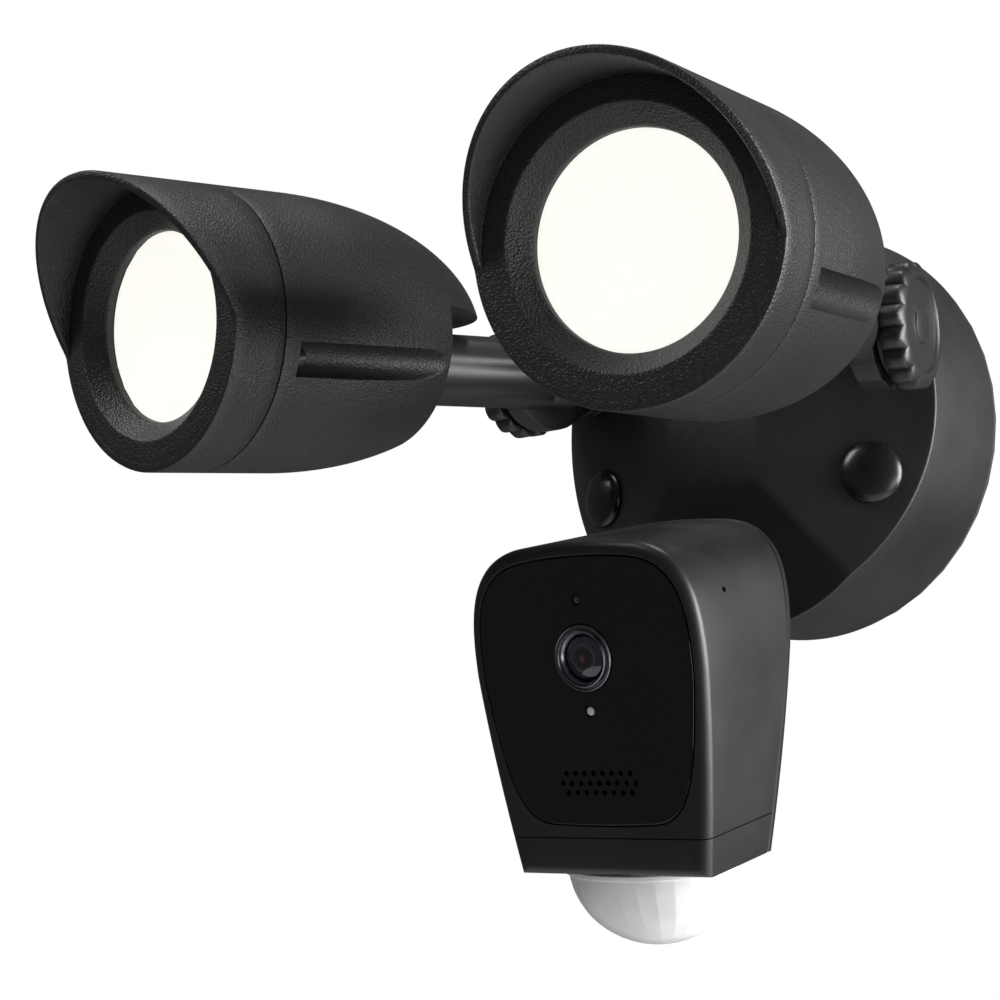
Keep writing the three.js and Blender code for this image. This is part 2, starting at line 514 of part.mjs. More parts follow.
function buildHead(root) {
  const frame = addGroup(root, head.origin, 0, head.droop);
  const { front, wall } = head;
  // The rear seam is a vertical plane of the row, so it is tilted back in the head's own frame.
  const seamAt = head.seamY - head.origin[1];
  const hingeAt = head.pivotY - head.origin[1];
  const behind = (offset) => block(-FAR, FAR, 0, FAR, -FAR, FAR)
    .translate([0, seamAt + offset, 0]).rotate([-head.droop / RAD, 0, 0]);
  const full = headBlock(headOutline(0), front, -5, 3);
  const hollow = headBlock(headOutline(wall), front + 4, -2, 0);
  const below = (z) => block(-FAR, FAR, -FAR, FAR, -FAR, z);
  const above = (z) => block(-FAR, FAR, -FAR, FAR, z, FAR);

  const panelOutline = headOutline(2.6, -46);
  const recess = headBlock(panelOutline, front - 1, front + 1.8, 0);
  const lensBore = bar('y', lens.bore, front - 2, front + 12, [0, head.lensZ], 40);
  const sensorBore = bar('y', 1.5, front - 2, front + 12, [0, head.sensorZ], 12);
  const lightBore = bar('y', 1.6, front - 2, front + 12, [0, head.lightZ], 12);
  const speakerBore = block(-speaker.halfX, speaker.halfX, front + 1, front + 6,
    head.speakerZ - speaker.halfZ, head.speakerZ + speaker.halfZ);
  const shell = cutBy(full, hollow, behind(0), below(head.band + GAP / 2), recess,
    lensBore, sensorBore, lightBore, speakerBore,
    bar('x', 0.8, 30, 45, [front + 16, 12.5], 10));
  addPiece(frame, 'camera_front_shell', satinBlack, shell);

  const panelInner = headBlock(headOutline(2.9, -45.7), front, front + 1.5, 0);
  addPiece(frame, 'face_panel', glossBlack, cutBy(
    panelInner, lensBore, sensorBore, lightBore, ...speakerHoles()));

  const domeBase = (grow, from, to) => bar('z', 1, from, to, [0, 0], 48)
    .scale([head.domeX + grow, head.domeDepth + grow, 1]).translate([0, head.domeY, 0]);
  const cover = cutBy(full, hollow, behind(0), above(head.band - GAP / 2),
    domeBase(-3, head.bottom - 5, head.bottom + 8));
  addPiece(frame, 'lower_cover', satinBlack, cover);

  // The back cover is a plate on the upright seam, swollen below the hinge to hold the dome's base.
  const upright = (body) => body.rotate([-head.droop / RAD, 0, 0]);
  const swell = (halfWidth, depth, top) => bar('z', 1, -80, top, [0, 0], 40)
    .scale([halfWidth, depth, 1]).translate([0, seamAt + GAP, 0]);
  const outside = headBlock(headOutline(0), front, 20, 0).intersect(behind(GAP));
  const backPlate = outside.intersect(upright(block(-FAR, FAR, -FAR, seamAt + 2.8, -FAR, FAR)));
  const backSwell = outside.intersect(upright(swell(33, head.bulge, -13)));
  const backHollow = upright(swell(30, head.bulge - 2.4, -16)).intersect(above(head.bottom + 2.4));
  const knuckle = upright(joined(
    bar('x', 6.2, -6, 6, [hingeAt, 0], 28), block(-6, 6, seamAt + 1, hingeAt, -4, 4)));
  addPiece(frame, 'camera_back_cover', satinBlack, cutBy(
    joined(backPlate, backSwell, knuckle), backHollow,
    upright(bar('x', 2.5, -30, 30, [hingeAt, 0], 16)),
    domeBase(-3, head.bottom - 5, head.bottom + 8)));

  // Lens group.
  const lensAt = (profile, segments) => turned(profile, segments).translate([0, front, head.lensZ]);
  addPiece(frame, 'lens_ring', silver, lensAt([
    [0, -1.4], [7.6, -1.4], [lens.ring, -0.6], [lens.ring, 4], [0, 4],
  ], 28)
    .subtract(lensAt([[0, -3], [6.9, -3], [6.1, 1], [6.1, 6], [0, 6]], 28)));
  addPiece(frame, 'lens_glass', glass, lensAt([
    [0, -0.6], [3, -0.2], [5.6, 0.7], [lens.barrel, 1.6], [0, 1.6],
  ], 24));
  addPiece(frame, 'lens_barrel', satinBlack, lensAt([
    [0, 1.9], [lens.barrel, 1.9], [lens.barrel, lens.barrelEnd], [0, lens.barrelEnd],
  ], 28));
  addPiece(frame, 'light_sensor', glass,
    bar('y', 1.15, front + 0.1, front + 5, [0, head.sensorZ], 12));
  addPiece(frame, 'status_light', white,
    bar('y', 1.25, front + 0.1, front + 5, [0, head.lightZ], 12));
  addPiece(frame, 'speaker', greyPlastic,
    bar('y', 4.2, front + 2, front + 9, [0, head.speakerZ], 28)
      .add(bar('y', 9, front + 6.3, front + 10, [0, head.speakerZ], 28)));
  addPiece(frame, 'main_board', circuit, block(-27, 27, front + 17, front + 18.6, -44, 18));
  addPiece(frame, 'sensor_board', circuit, block(-18, 18, head.domeY - 10, head.domeY + 10,
    head.bottom + 9, head.bottom + 10.6));
  addPiece(frame, 'motion_sensor', silver,
    bar('z', 4.6, head.bottom + 3, head.bottom + 8.7, [0, head.domeY], 24));
  addPiece(frame, 'sensor_dome', white, buildDome());
}

// A half ellipsoid with flat vertical facets, its base inside the lower cover's opening.
function buildDome() {
  const facets = 24;
  const shell = (shrink) => {
    const points = [[0, 0], [1 - shrink, 0]];
    for (let i = 1; i <= 6; i += 1) {
      const angle = (i / 6) * Math.PI / 2;
      points.push([Math.max((1 - shrink) * Math.cos(angle), 0), -(1 - shrink) * Math.sin(angle)]);
    }
    points[points.length - 1][0] = 0;
    return turned(points, facets).rotate([90, 0, 0])
      .scale([head.domeX, head.domeDepth, head.domeDrop]);
  };
  const collar = bar('z', 1, -0.5, 2, [0, 0], 40)
    .scale([head.domeX - 3 - GAP, head.domeDepth - 3 - GAP, 1]);
  const bore = bar('z', 1, -3, 4, [0, 0], 40)
    .scale([head.domeX - 5, head.domeDepth - 5, 1]);
  const dome = cutBy(joined(shell(0), collar), shell(0.08).translate([0, 0, -1.2]), bore);
  return dome.translate([0, head.domeY, head.bottom - GAP]);
}

// ---- assembly ------------------------------------------------------------------------------
const floodlightCamera = new THREE.Group();
buildCanopy(floodlightCamera);
buildArm(floodlightCamera, -1, 'left');
buildArm(floodlightCamera, 1, 'right');
buildMount(floodlightCamera);
buildHead(floodlightCamera);

export default floodlightCamera;
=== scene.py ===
"""Wall floodlight with a camera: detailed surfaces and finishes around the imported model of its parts.

Every length is in metres in the part's own frame: the wall is y = 0, -Y is the front, +Z is up.
"""

import json
import math

import bmesh
import bpy
import numpy as np
from bpy.props import FloatProperty, FloatVectorProperty, IntProperty, PointerProperty
from mathutils import Matrix, Vector

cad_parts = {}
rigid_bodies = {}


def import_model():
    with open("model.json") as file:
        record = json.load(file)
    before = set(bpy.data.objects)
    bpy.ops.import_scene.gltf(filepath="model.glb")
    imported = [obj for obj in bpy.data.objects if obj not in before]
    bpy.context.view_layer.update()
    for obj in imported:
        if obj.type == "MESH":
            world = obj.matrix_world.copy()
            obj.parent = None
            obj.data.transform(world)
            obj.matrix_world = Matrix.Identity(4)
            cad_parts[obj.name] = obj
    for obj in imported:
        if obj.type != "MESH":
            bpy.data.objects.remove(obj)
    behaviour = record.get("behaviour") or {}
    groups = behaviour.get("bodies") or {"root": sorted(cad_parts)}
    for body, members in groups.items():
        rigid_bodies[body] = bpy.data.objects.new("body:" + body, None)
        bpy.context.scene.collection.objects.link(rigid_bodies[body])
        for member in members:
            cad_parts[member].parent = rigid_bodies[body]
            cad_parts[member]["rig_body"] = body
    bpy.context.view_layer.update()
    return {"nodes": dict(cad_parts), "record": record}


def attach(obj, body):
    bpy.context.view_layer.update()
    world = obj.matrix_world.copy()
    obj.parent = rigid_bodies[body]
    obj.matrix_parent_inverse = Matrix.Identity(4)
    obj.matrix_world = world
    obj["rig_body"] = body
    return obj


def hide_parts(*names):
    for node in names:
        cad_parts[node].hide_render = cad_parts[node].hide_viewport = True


bl_info = {
    "name": "Floodlight Camera",
    "version": (1, 0, 0),
    "blender": (4, 5, 0),
    "location": "View3D > Sidebar > Floodlight",
    "description": "Builds the looks of a wall floodlight with a camera around its packed parts",
    "category": "Object",
}

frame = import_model()

MM = 0.001
SIDES = ((-1, "left"), (1, "right"))
TAU = 2 * math.pi
WELD = 2e-6
CREASE = math.radians(32)


# ---- sizes and colours that a user may change ---------------------------------------------------
def length(name, default_mm, description):
    return FloatProperty(name=name, description=description, default=default_mm * MM, unit="LENGTH")


def angle(name, degrees, description):
    return FloatProperty(name=name, description=description, default=math.radians(degrees), unit="ROTATION")


def colour(name, rgb, description):
    return FloatVectorProperty(name=name, description=description, default=rgb, size=3, subtype="COLOR",
                               min=0.0, max=1.0)


class CanopySizes(bpy.types.PropertyGroup):
    radius: length("Radius", 62.5, "Radius of the round canopy")
    depth: length("Depth", 57.5, "Distance from the wall to the centre facet")
    back: length("Back rim", 2.8, "Distance from the wall to the back rim, where the gasket is")
    wall: length("Wall", 2.5, "Wall thickness")
    face_half_x: length("Facet half width", 15.2, "Half the width of the centre facet")
    face_half_z: length("Facet half height", 21.0, "Half the height of the centre facet")
    side_slope: angle("Side slope", 20.0, "Slope of the left and the right facet")
    lower_slope: angle("Lower slope", 17.0, "Slope of the upper and the lower facet")
    crease: length("Crease", 0.9, "How softly the facets meet")
    cap_x: length("Cap offset", 45.4, "Sideways distance of each screw cap")
    cap_z: length("Cap height", -20.0, "Height of the screw caps")
    cap_radius: length("Cap radius", 8.7, "Radius of a screw cap")


class ArmSizes(bpy.types.PropertyGroup):
    pivot: FloatVectorProperty(name="Tilt pivot", description="Tilt axis of the right arm", size=3,
                               default=(52.8 * MM, -63 * MM, 16.5 * MM), unit="LENGTH")
    azimuth: angle("Azimuth", 8.2, "How far each lamp turns outwards")
    droop: angle("Droop", 5.5, "How far each lamp points down")
    knob_radius: length("Knob radius", 17.5, "Outer radius of the lock knob")
    flutes: IntProperty(name="Flutes", description="Number of flutes round the lock knob", default=16)


class LampSizes(bpy.types.PropertyGroup):
    reach: length("Reach", 148, "From the tilt axis to the rim of the bezel")
    rise: length("Rise", 7.5, "Height of the lamp's axis over the arm's axis")
    radius: length("Radius", 37.6, "Radius of the lamp")
    straight: length("Straight", 38, "Length of the straight part behind the rim")
    total: length("Length", 110, "From the rim to the tip of the tail")
    seam: length("Seam", 15.6, "From the rim to the seam between bezel and shell")
    notch: length("Notch", 78, "From the rim to the notch under the tail")
    notch_top: length("Notch top", 5, "Height of the notch's roof over the lamp's axis")
    lens: length("Lens radius", 24.6, "Radius of the opening in front of the diffuser")
    cone: length("Cone radius", 29.4, "Radius where the sloped inner ring starts")
    cone_depth: length("Cone depth", 4.5, "Depth of the sloped inner ring")
    visor: length("Visor", 20, "Longest reach of the visor in front of the rim")
    visor_start: length("Visor start", 1.5, "Reach of the visor at the height of the lamp's axis")


class CameraSizes(bpy.types.PropertyGroup):
    origin: FloatVectorProperty(name="Origin", description="Origin of the tilted head", size=3,
                                default=(0.0, -60 * MM, -59 * MM), unit="LENGTH")
    droop: angle("Droop", 12.0, "How far the camera points down")
    front: length("Front", -63.5, "Front face in the head's own frame")
    top: length("Top", 29.3, "Highest point in the head's own frame")
    bottom: length("Bottom", -59.6, "Lowest edge in the head's own frame")
    band: length("Band", -49.3, "Joint between the front shell and the lower cover")
    seam: length("Seam", -20.0, "Upright rear seam, from the head's origin")
    bevel: length("Bevel", 2.6, "Rounding of the front edge")
    lens_z: length("Lens height", -1.5, "Height of the lens")
    sensor_z: length("Sensor height", 13.9, "Height of the light sensor's window")
    light_z: length("Light height", -15.6, "Height of the status light")
    speaker_z: length("Speaker height", -34.6, "Height of the middle row of speaker holes")
    dome_y: length("Dome place", -44, "Centre of the motion sensor's dome")
    dome_drop: length("Dome drop", 22.4, "How far the dome hangs below the housing")


class Finishes(bpy.types.PropertyGroup):
    satin: colour("Satin black", (0.0105, 0.0106, 0.0112), "Canopy, arms and camera housing")
    grained: colour("Grained black", (0.0115, 0.0115, 0.012), "Lamp housings")
    gloss: colour("Gloss black", (0.0022, 0.0022, 0.0026), "Face panel and screw caps")
    glow: colour("Diffuser", (1.0, 0.985, 0.93), "Light of the lit diffusers")
    dome: colour("Dome", (0.78, 0.785, 0.79), "Milky sensor dome")
    ring: colour("Lens ring", (0.2, 0.205, 0.23), "Stepped ring round the camera's lens")
    cap: colour("Screw cap", (0.006, 0.006, 0.007), "Smooth caps over the canopy's screws")


GROUPS = {
    "flood_canopy": CanopySizes,
    "flood_arm": ArmSizes,
    "flood_lamp": LampSizes,
    "flood_camera": CameraSizes,
    "flood_finishes": Finishes,
}


# ---- placing and shaping with numpy -------------------------------------------------------------
def turn_x(a):
    c, s = math.cos(a), math.sin(a)
    return np.array([[1, 0, 0, 0], [0, c, -s, 0], [0, s, c, 0], [0, 0, 0, 1.0]])


def turn_z(a):
    c, s = math.cos(a), math.sin(a)
    return np.array([[c, -s, 0, 0], [s, c, 0, 0], [0, 0, 1, 0], [0, 0, 0, 1.0]])


def shift(x, y, z):
    out = np.eye(4)
    out[:3, 3] = (x, y, z)
    return out


def placed(matrix, points):
    return points @ matrix[:3, :3].T + matrix[:3, 3]


def mirrored(side, points):
    return points * np.array([side, 1.0, 1.0])


def rounded(profile, radius, steps=4, closed=False):
    """Corners of a profile eased by quadratic curves: (1-t)^2 A + 2t(1-t) B + t^2 C, with A and C
    on the two sides that meet at the corner B, at most the radius and 45% of a side away."""
    p = np.asarray(profile, float)
    before, after = np.roll(p, 1, 0) - p, np.roll(p, -1, 0) - p
    reach_before = np.linalg.norm(before, axis=1, keepdims=True) + 1e-12
    reach_after = np.linalg.norm(after, axis=1, keepdims=True) + 1e-12
    a = p + before / reach_before * np.minimum(radius, 0.45 * reach_before)
    c = p + after / reach_after * np.minimum(radius, 0.45 * reach_after)
    if not closed:
        a[[0, -1]] = p[[0, -1]]
        c[[0, -1]] = p[[0, -1]]
    t = np.linspace(0, 1, steps + 1)[None, :, None]
    out = (1 - t) ** 2 * a[:, None] + 2 * t * (1 - t) * p[:, None] + t**2 * c[:, None]
    out = out.reshape(-1, 2)
    if closed:
        return out
    return out[steps:-steps] if steps else out


def turned(profile, matrix=np.eye(4), segments=96):
    """A profile of (radius, y) carried round the Y axis: (r cos a, y, r sin a) at angle a."""
    p = np.asarray(profile, float)
    a = np.linspace(0, TAU, segments, endpoint=False)
    grid = np.empty((len(p), segments, 3))
    grid[..., 0] = p[:, :1] * np.cos(a)
    grid[..., 1] = p[:, 1:]
    grid[..., 2] = p[:, :1] * np.sin(a)
    return placed(matrix, grid)


def faces_of(grid, closed_rows=False, first=0):
    """Vertices and four-sided faces of a grid whose columns close into a ring."""
    rows, columns = grid.shape[:2]
    index = np.arange(rows * columns).reshape(rows, columns) + first
    if closed_rows:
        index = np.vstack([index, index[:1]])
    near, far = index[:-1], index[1:]
    faces = np.stack([near, np.roll(near, -1, 1), np.roll(far, -1, 1), far], -1)
    return grid.reshape(-1, 3), faces.reshape(-1, 4)


def tidy_mesh(mesh, crease=CREASE):
    """Merges points that coincide, drops faces without area, turns faces outwards and marks
    the creases."""
    work = bmesh.new()
    work.from_mesh(mesh)
    bmesh.ops.remove_doubles(work, verts=work.verts, dist=WELD)
    bmesh.ops.dissolve_degenerate(work, dist=WELD, edges=work.edges)
    bmesh.ops.delete(work, geom=[e for e in work.edges if not e.link_faces], context="EDGES")
    bmesh.ops.delete(work, geom=[v for v in work.verts if not v.link_faces], context="VERTS")
    bmesh.ops.recalc_face_normals(work, faces=work.faces)
    if work.calc_volume(signed=True) < 0:
        bmesh.ops.reverse_faces(work, faces=work.faces)
    work.to_mesh(mesh)
    work.free()
    mesh.polygons.foreach_set("use_smooth", np.ones(len(mesh.polygons), bool))
    mesh.set_sharp_from_angle(angle=crease)
    mesh.update()


def mesh_from(name, grids, crease=CREASE):
    """One mesh of one or more closed grids, each given alone or with True where its rows close too."""
    vertices, faces, count = [], [], 0
    for item in grids:
        grid, closed_rows = item if isinstance(item, tuple) else (item, False)
        points, quads = faces_of(grid, closed_rows, count)
        vertices.append(points)
        faces.append(quads)
        count += len(points)
    points, quads = np.concatenate(vertices), np.concatenate(faces)
    mesh = bpy.data.meshes.new(name)
    mesh.vertices.add(len(points))
    mesh.vertices.foreach_set("co", points.astype(np.float32).ravel())
    mesh.loops.add(quads.size)
    mesh.loops.foreach_set("vertex_index", quads.astype(np.int32).ravel())
    mesh.polygons.add(len(quads))
    mesh.polygons.foreach_set("loop_start", np.arange(0, quads.size, 4, dtype=np.int32))
    mesh.update(calc_edges=True)
    tidy_mesh(mesh, crease)
    return mesh


def add_piece(name, mesh, material, node):
    """Puts a mesh in the scene in place of a CAD node, on that node's body."""
    piece = bpy.data.objects.new(name, mesh)
    bpy.context.scene.collection.objects.link(piece)
    mesh.materials.clear()
    mesh.materials.append(material)
    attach(piece, frame["nodes"][node]["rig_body"])
    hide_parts(node)
    return piece


def smoothed(node, material, bevel):
    """A CAD node's own shape with its points merged, its curves shaded round and its edges eased."""
    mesh = frame["nodes"][node].data.copy()
    mesh.name = node + "_surface"
    if mesh.has_custom_normals:
        mesh.normals_split_custom_set([(0.0, 0.0, 0.0)] * len(mesh.loops))
    tidy_mesh(mesh)
    piece = add_piece(node + "_surface", mesh, material, node)
    edges = piece.modifiers.new("eased edges", "BEVEL")
    edges.width = bevel
    edges.segments = 2
    edges.limit_method = "ANGLE"
    edges.angle_limit = math.radians(50)
    edges.harden_normals = True
    return piece


# ---- shader arithmetic --------------------------------------------------------------------------
class Value:
    """A shader socket that takes part in Python arithmetic. Each operation adds a Math node."""

    def __init__(self, shader, socket):
        self.shader = shader
        self.socket = socket

    def math(self, operation, *operands):
        return self.shader.node("ShaderNodeMath", {"operation": operation}, dict(enumerate(operands)))

    def __add__(self, other):
        return self.math("ADD", self, other)

    def __radd__(self, other):
        return self.math("ADD", other, self)

    def __rsub__(self, other):
        return self.math("SUBTRACT", other, self)

    def __mul__(self, other):
        return self.math("MULTIPLY", self, other)

    def __rmul__(self, other):
        return self.math("MULTIPLY", other, self)


class Shader:
    """A material under construction."""

    def __init__(self, name):
        self.material = bpy.data.materials.new(name)
        self.material.use_nodes = True
        self.tree = self.material.node_tree
        self.tree.nodes.clear()
        self.place = self.node("ShaderNodeTexCoord", {}, {}, "Object")

    def node(self, kind, settings, inputs, output=0):
        """Adds a node: its settings first (a ramp's stops among them), then its sockets' values."""
        made = self.tree.nodes.new(kind)
        for key, value in settings.items():
            if key == "stops":
                ramp = made.color_ramp
                ramp.elements[0].position, ramp.elements[1].position = value[0][0], value[-1][0]
                ramp.elements[0].color, ramp.elements[1].color = value[0][1], value[-1][1]
                for position, tint in value[1:-1]:
                    ramp.elements.new(position).color = tint
            else:
                setattr(made, key, value)
        for key, value in inputs.items():
            if isinstance(value, Value):
                self.tree.links.new(value.socket, made.inputs[key])
            else:
                made.inputs[key].default_value = value
        return Value(self, made.outputs[output])

    def noise(self, per_metre, detail=3.0, roughness=0.5, stretch=(1, 1, 1)):
        where = self.place
        if stretch != (1, 1, 1):
            where = self.node("ShaderNodeMapping", {}, {"Vector": where, "Scale": stretch}, "Vector")
        return self.node("ShaderNodeTexNoise", {}, {
            "Vector": where, "Scale": per_metre, "Detail": detail, "Roughness": roughness}, 0)

    def cells(self, per_metre, feature="SMOOTH_F1", place=None):
        return self.node("ShaderNodeTexVoronoi", {"feature": feature}, {
            "Vector": place or self.place, "Scale": per_metre}, "Distance")

    def stretched(self, value, low, high, to_low=0.0, to_high=1.0):
        return self.node("ShaderNodeMapRange", {"clamp": True}, {
            "Value": value, "From Min": low, "From Max": high, "To Min": to_low, "To Max": to_high})

    def mixed(self, factor, a, b):
        return self.node("ShaderNodeMix", {"data_type": "RGBA"}, {0: factor, 6: a, 7: b}, 2)

    def bump(self, height, distance, strength):
        return self.node("ShaderNodeBump", {}, {
            "Height": height, "Distance": distance, "Strength": strength})

    def dust(self):
        """Where dust settles: on faces that look up, broken by a slow noise."""
        normal = self.node("ShaderNodeNewGeometry", {}, {}, "Normal")
        up = self.node("ShaderNodeSeparateXYZ", {}, {"Vector": normal}, "Z")
        return self.stretched(up, 0.2, 1.0) * self.stretched(self.noise(55, 4.0, 0.6), 0.42, 0.7)

    def finish(self, **sockets):
        """Ends the material in one Principled surface with the sockets given."""
        names = {key.replace("_", " ").title().replace("Ior", "IOR"): value for key, value in sockets.items()}
        surface = self.node("ShaderNodeBsdfPrincipled", {}, names)
        out = self.tree.nodes.new("ShaderNodeOutputMaterial")
        self.tree.links.new(surface.socket, out.inputs["Surface"])
        return self.material


def rgba(rgb, factor=1.0):
    return (rgb[0] * factor, rgb[1] * factor, rgb[2] * factor, 1.0)


def satin_black(name, tint, roughness=0.36, grain=0.35, per_metre=2600):
    """Moulded or painted satin black: a very fine orange-peel grain and slow changes of sheen."""
    s = Shader(name)
    slow = s.noise(38, 3.0, 0.55)
    fine = s.noise(per_metre, 2.0, 0.6)
    dust = s.dust()
    base = s.mixed(s.stretched(slow, 0.3, 0.7), rgba(tint, 0.85), rgba(tint, 1.2))
    base = s.mixed(dust * 0.12, base, (0.09, 0.088, 0.084, 1))
    rough = s.stretched(slow, 0.25, 0.75, roughness - 0.035, roughness + 0.045) + dust * 0.1
    normal = s.bump(fine + 0.4 * s.noise(620, 2.0), 0.00006, grain)
    return s.finish(base_color=base, roughness=rough + 0.06 * fine, normal=normal, specular_ior_level=0.5)


def leather_grain(name, tint):
    """Black die-cast housing with a leather-like moulded grain: small irregular cells with soft
    valleys between them, over a finer grain."""
    s = Shader(name)
    wander = s.node("ShaderNodeTexNoise", {}, {"Vector": s.place, "Scale": 700.0, "Detail": 2.0}, "Color")
    drift = s.node("ShaderNodeVectorMath", {"operation": "MULTIPLY_ADD"}, {
        0: wander, 1: (0.0006, 0.0006, 0.0006), 2: s.place})
    cells = s.cells(1900.0, "SMOOTH_F1", drift)
    fine = s.noise(3600, 3.0, 0.6)
    slow = s.noise(45, 3.0, 0.5)
    pebbles = s.stretched(cells, 0.12, 0.62, 1.0, 0.0)
    dust = s.dust()
    base = s.mixed(pebbles, rgba(tint, 0.7), rgba(tint, 1.25))
    base = s.mixed(dust * 0.1, base, (0.1, 0.098, 0.094, 1))
    rough = 0.46 - 0.1 * pebbles + 0.06 * s.stretched(slow, 0.3, 0.7) + 0.06 * dust
    height = pebbles + 0.6 * fine + 0.15 * s.noise(420, 2.0)
    return s.finish(base_color=base, roughness=rough, normal=s.bump(height, 0.00013, 0.8),
                    specular_ior_level=0.5)


def gloss_black(name, tint):
    """Polished black plastic with a trace of smudges and hair scratches."""
    s = Shader(name)
    smudge = s.stretched(s.noise(26, 5.0, 0.62), 0.45, 0.75)
    scratch = s.noise(900, 2.0, 0.5, (1, 0.04, 0.12))
    rough = 0.055 + 0.05 * smudge + 0.02 * scratch
    base = s.mixed(smudge * 0.25, rgba(tint), rgba(tint, 2.0))
    normal = s.bump(s.noise(60, 2.0), 0.00003, 0.2)
    return s.finish(base_color=base, roughness=rough, normal=normal, coat_weight=0.3, coat_roughness=0.03)


def rubber(name):
    s = Shader(name)
    fine = s.noise(1500, 4.0, 0.65)
    return s.finish(base_color=s.mixed(fine, (0.012, 0.012, 0.012, 1), (0.028, 0.028, 0.027, 1)),
                    roughness=0.75 + 0.15 * fine, normal=s.bump(fine, 0.0001, 0.4))


def metal(name, tint, roughness, spangle=0.0):
    """Bare or plated metal: brushed along Z, or with the soft crystals of zinc."""
    s = Shader(name)
    brushed = s.noise(420, 3.0, 0.6, (1, 1, 0.06))
    patches = s.cells(240.0, "F1")
    tone = s.stretched(brushed, 0.3, 0.7) * (1 - spangle) + spangle * s.stretched(patches, 0.0, 0.6)
    base = s.mixed(tone, rgba(tint, 0.8), rgba(tint, 1.12))
    return s.finish(base_color=base, metallic=1.0, roughness=roughness + 0.14 * tone,
                    normal=s.bump(brushed, 0.00003, 0.4))


def moulded(name, tint, roughness=0.5):
    """Plain moulded plastic with a faint grain."""
    s = Shader(name)
    fine = s.noise(1800, 3.0, 0.55)
    slow = s.noise(40, 3.0)
    return s.finish(base_color=s.mixed(slow, rgba(tint, 0.92), rgba(tint, 1.05)),
                    roughness=roughness + 0.1 * fine, normal=s.bump(fine, 0.00004, 0.3))


def diffuser(name, tint):
    """Lit diffuser: even warm white, a breath dimmer towards fine moulded rings."""
    s = Shader(name)
    fine = s.noise(700, 2.0)
    glow = s.mixed(s.stretched(fine, 0.3, 0.7), rgba(tint, 0.985), rgba(tint))
    return s.finish(base_color=(0.25, 0.245, 0.225, 1), roughness=0.35, emission_color=glow,
                    emission_strength=0.96, normal=s.bump(fine, 0.00002, 0.2))


def milky_dome(name, tint):
    """Thin white polyethylene that lets light in: cloudy, with a soft waxy gloss."""
    s = Shader(name)
    cloud = s.noise(130, 3.0, 0.5)
    fine = s.noise(900, 2.0)
    base = s.mixed(s.stretched(cloud, 0.3, 0.7), rgba(tint, 0.93), rgba(tint, 1.04))
    return s.finish(base_color=base, roughness=0.26 + 0.1 * fine, normal=s.bump(fine, 0.00004, 0.25),
                    subsurface_weight=0.35, subsurface_radius=(0.004, 0.004, 0.0042),
                    subsurface_scale=1.0, coat_weight=0.15, coat_roughness=0.12)


def lens_glass(name, centre):
    """Dark coated glass with a bluish cast, and in its middle a small dull red disc of painted reflection:
    the pinkish glint on the pupil, painted into the base colour.
    """
    s = Shader(name)
    away = s.node("ShaderNodeVectorMath", {"operation": "DISTANCE"}, {0: s.place, 1: centre}, "Value")
    rim = s.stretched(away, 1.9 * MM, 5.4 * MM)
    # painted reflection: a dull red disc in the base colour at the lens's middle stands for the pupil's
    # pinkish glint
    pupil_glint = s.stretched(away, 0.5 * MM, 1.3 * MM, 1.0, 0.0)
    barrel = s.stretched(away, 3.1 * MM, 3.3 * MM) * s.stretched(away, 3.7 * MM, 3.9 * MM, 1.0, 0.0)
    base = s.mixed(rim, (0.0012, 0.0012, 0.002, 1), (0.03, 0.032, 0.044, 1))
    base = s.mixed(barrel * 0.6, base, (0.07, 0.072, 0.09, 1))
    base = s.mixed(pupil_glint, base, (0.1, 0.028, 0.03, 1))
    rough = 0.02 + 0.02 * s.noise(400, 2.0)
    return s.finish(base_color=base, roughness=rough, coat_weight=1.0, coat_roughness=0.02)


def circuit(name):
    """Green resist with paler tracks in a square weave and small copper pads."""
    s = Shader(name)
    tracks = s.node("ShaderNodeTexBrick", {}, {
        "Vector": s.place, "Scale": 160.0, "Mortar Size": 0.03, "Color1": (0.006, 0.035, 0.018, 1),
        "Color2": (0.008, 0.05, 0.024, 1), "Mortar": (0.03, 0.12, 0.06, 1)}, "Color")
    pads = s.stretched(s.cells(330.0, "F1"), 0.1, 0.16, 1.0, 0.0)
    base = s.mixed(pads, tracks, (0.5, 0.32, 0.12, 1))
    return s.finish(base_color=base, roughness=0.35, normal=s.bump(pads, 0.00008, 0.5))


# ---- canopy -------------------------------------------------------------------------------------
def side_facet_y(c, x):
    return -c.depth + (abs(x) - c.face_half_x) * math.tan(c.side_slope)


def canopy_height(c, x, z, inset):
    """The faceted front as a soft maximum, k log(sum(exp(plane / k))), of the flat centre, the two
    side slopes and the upper and lower slopes, all moved in by the inset."""
    half_x = c.face_half_x - inset * math.tan(c.side_slope / 2)
    half_z = c.face_half_z - inset * math.tan(c.lower_slope / 2)
    planes = np.stack([
        np.zeros_like(x),
        (np.abs(x) - half_x) * math.tan(c.side_slope),
        (np.abs(z) - half_z) * math.tan(c.lower_slope),
    ])
    softness = 0.3 * c.crease
    return -c.depth + inset + softness * np.log(np.exp(planes / softness).sum(0))


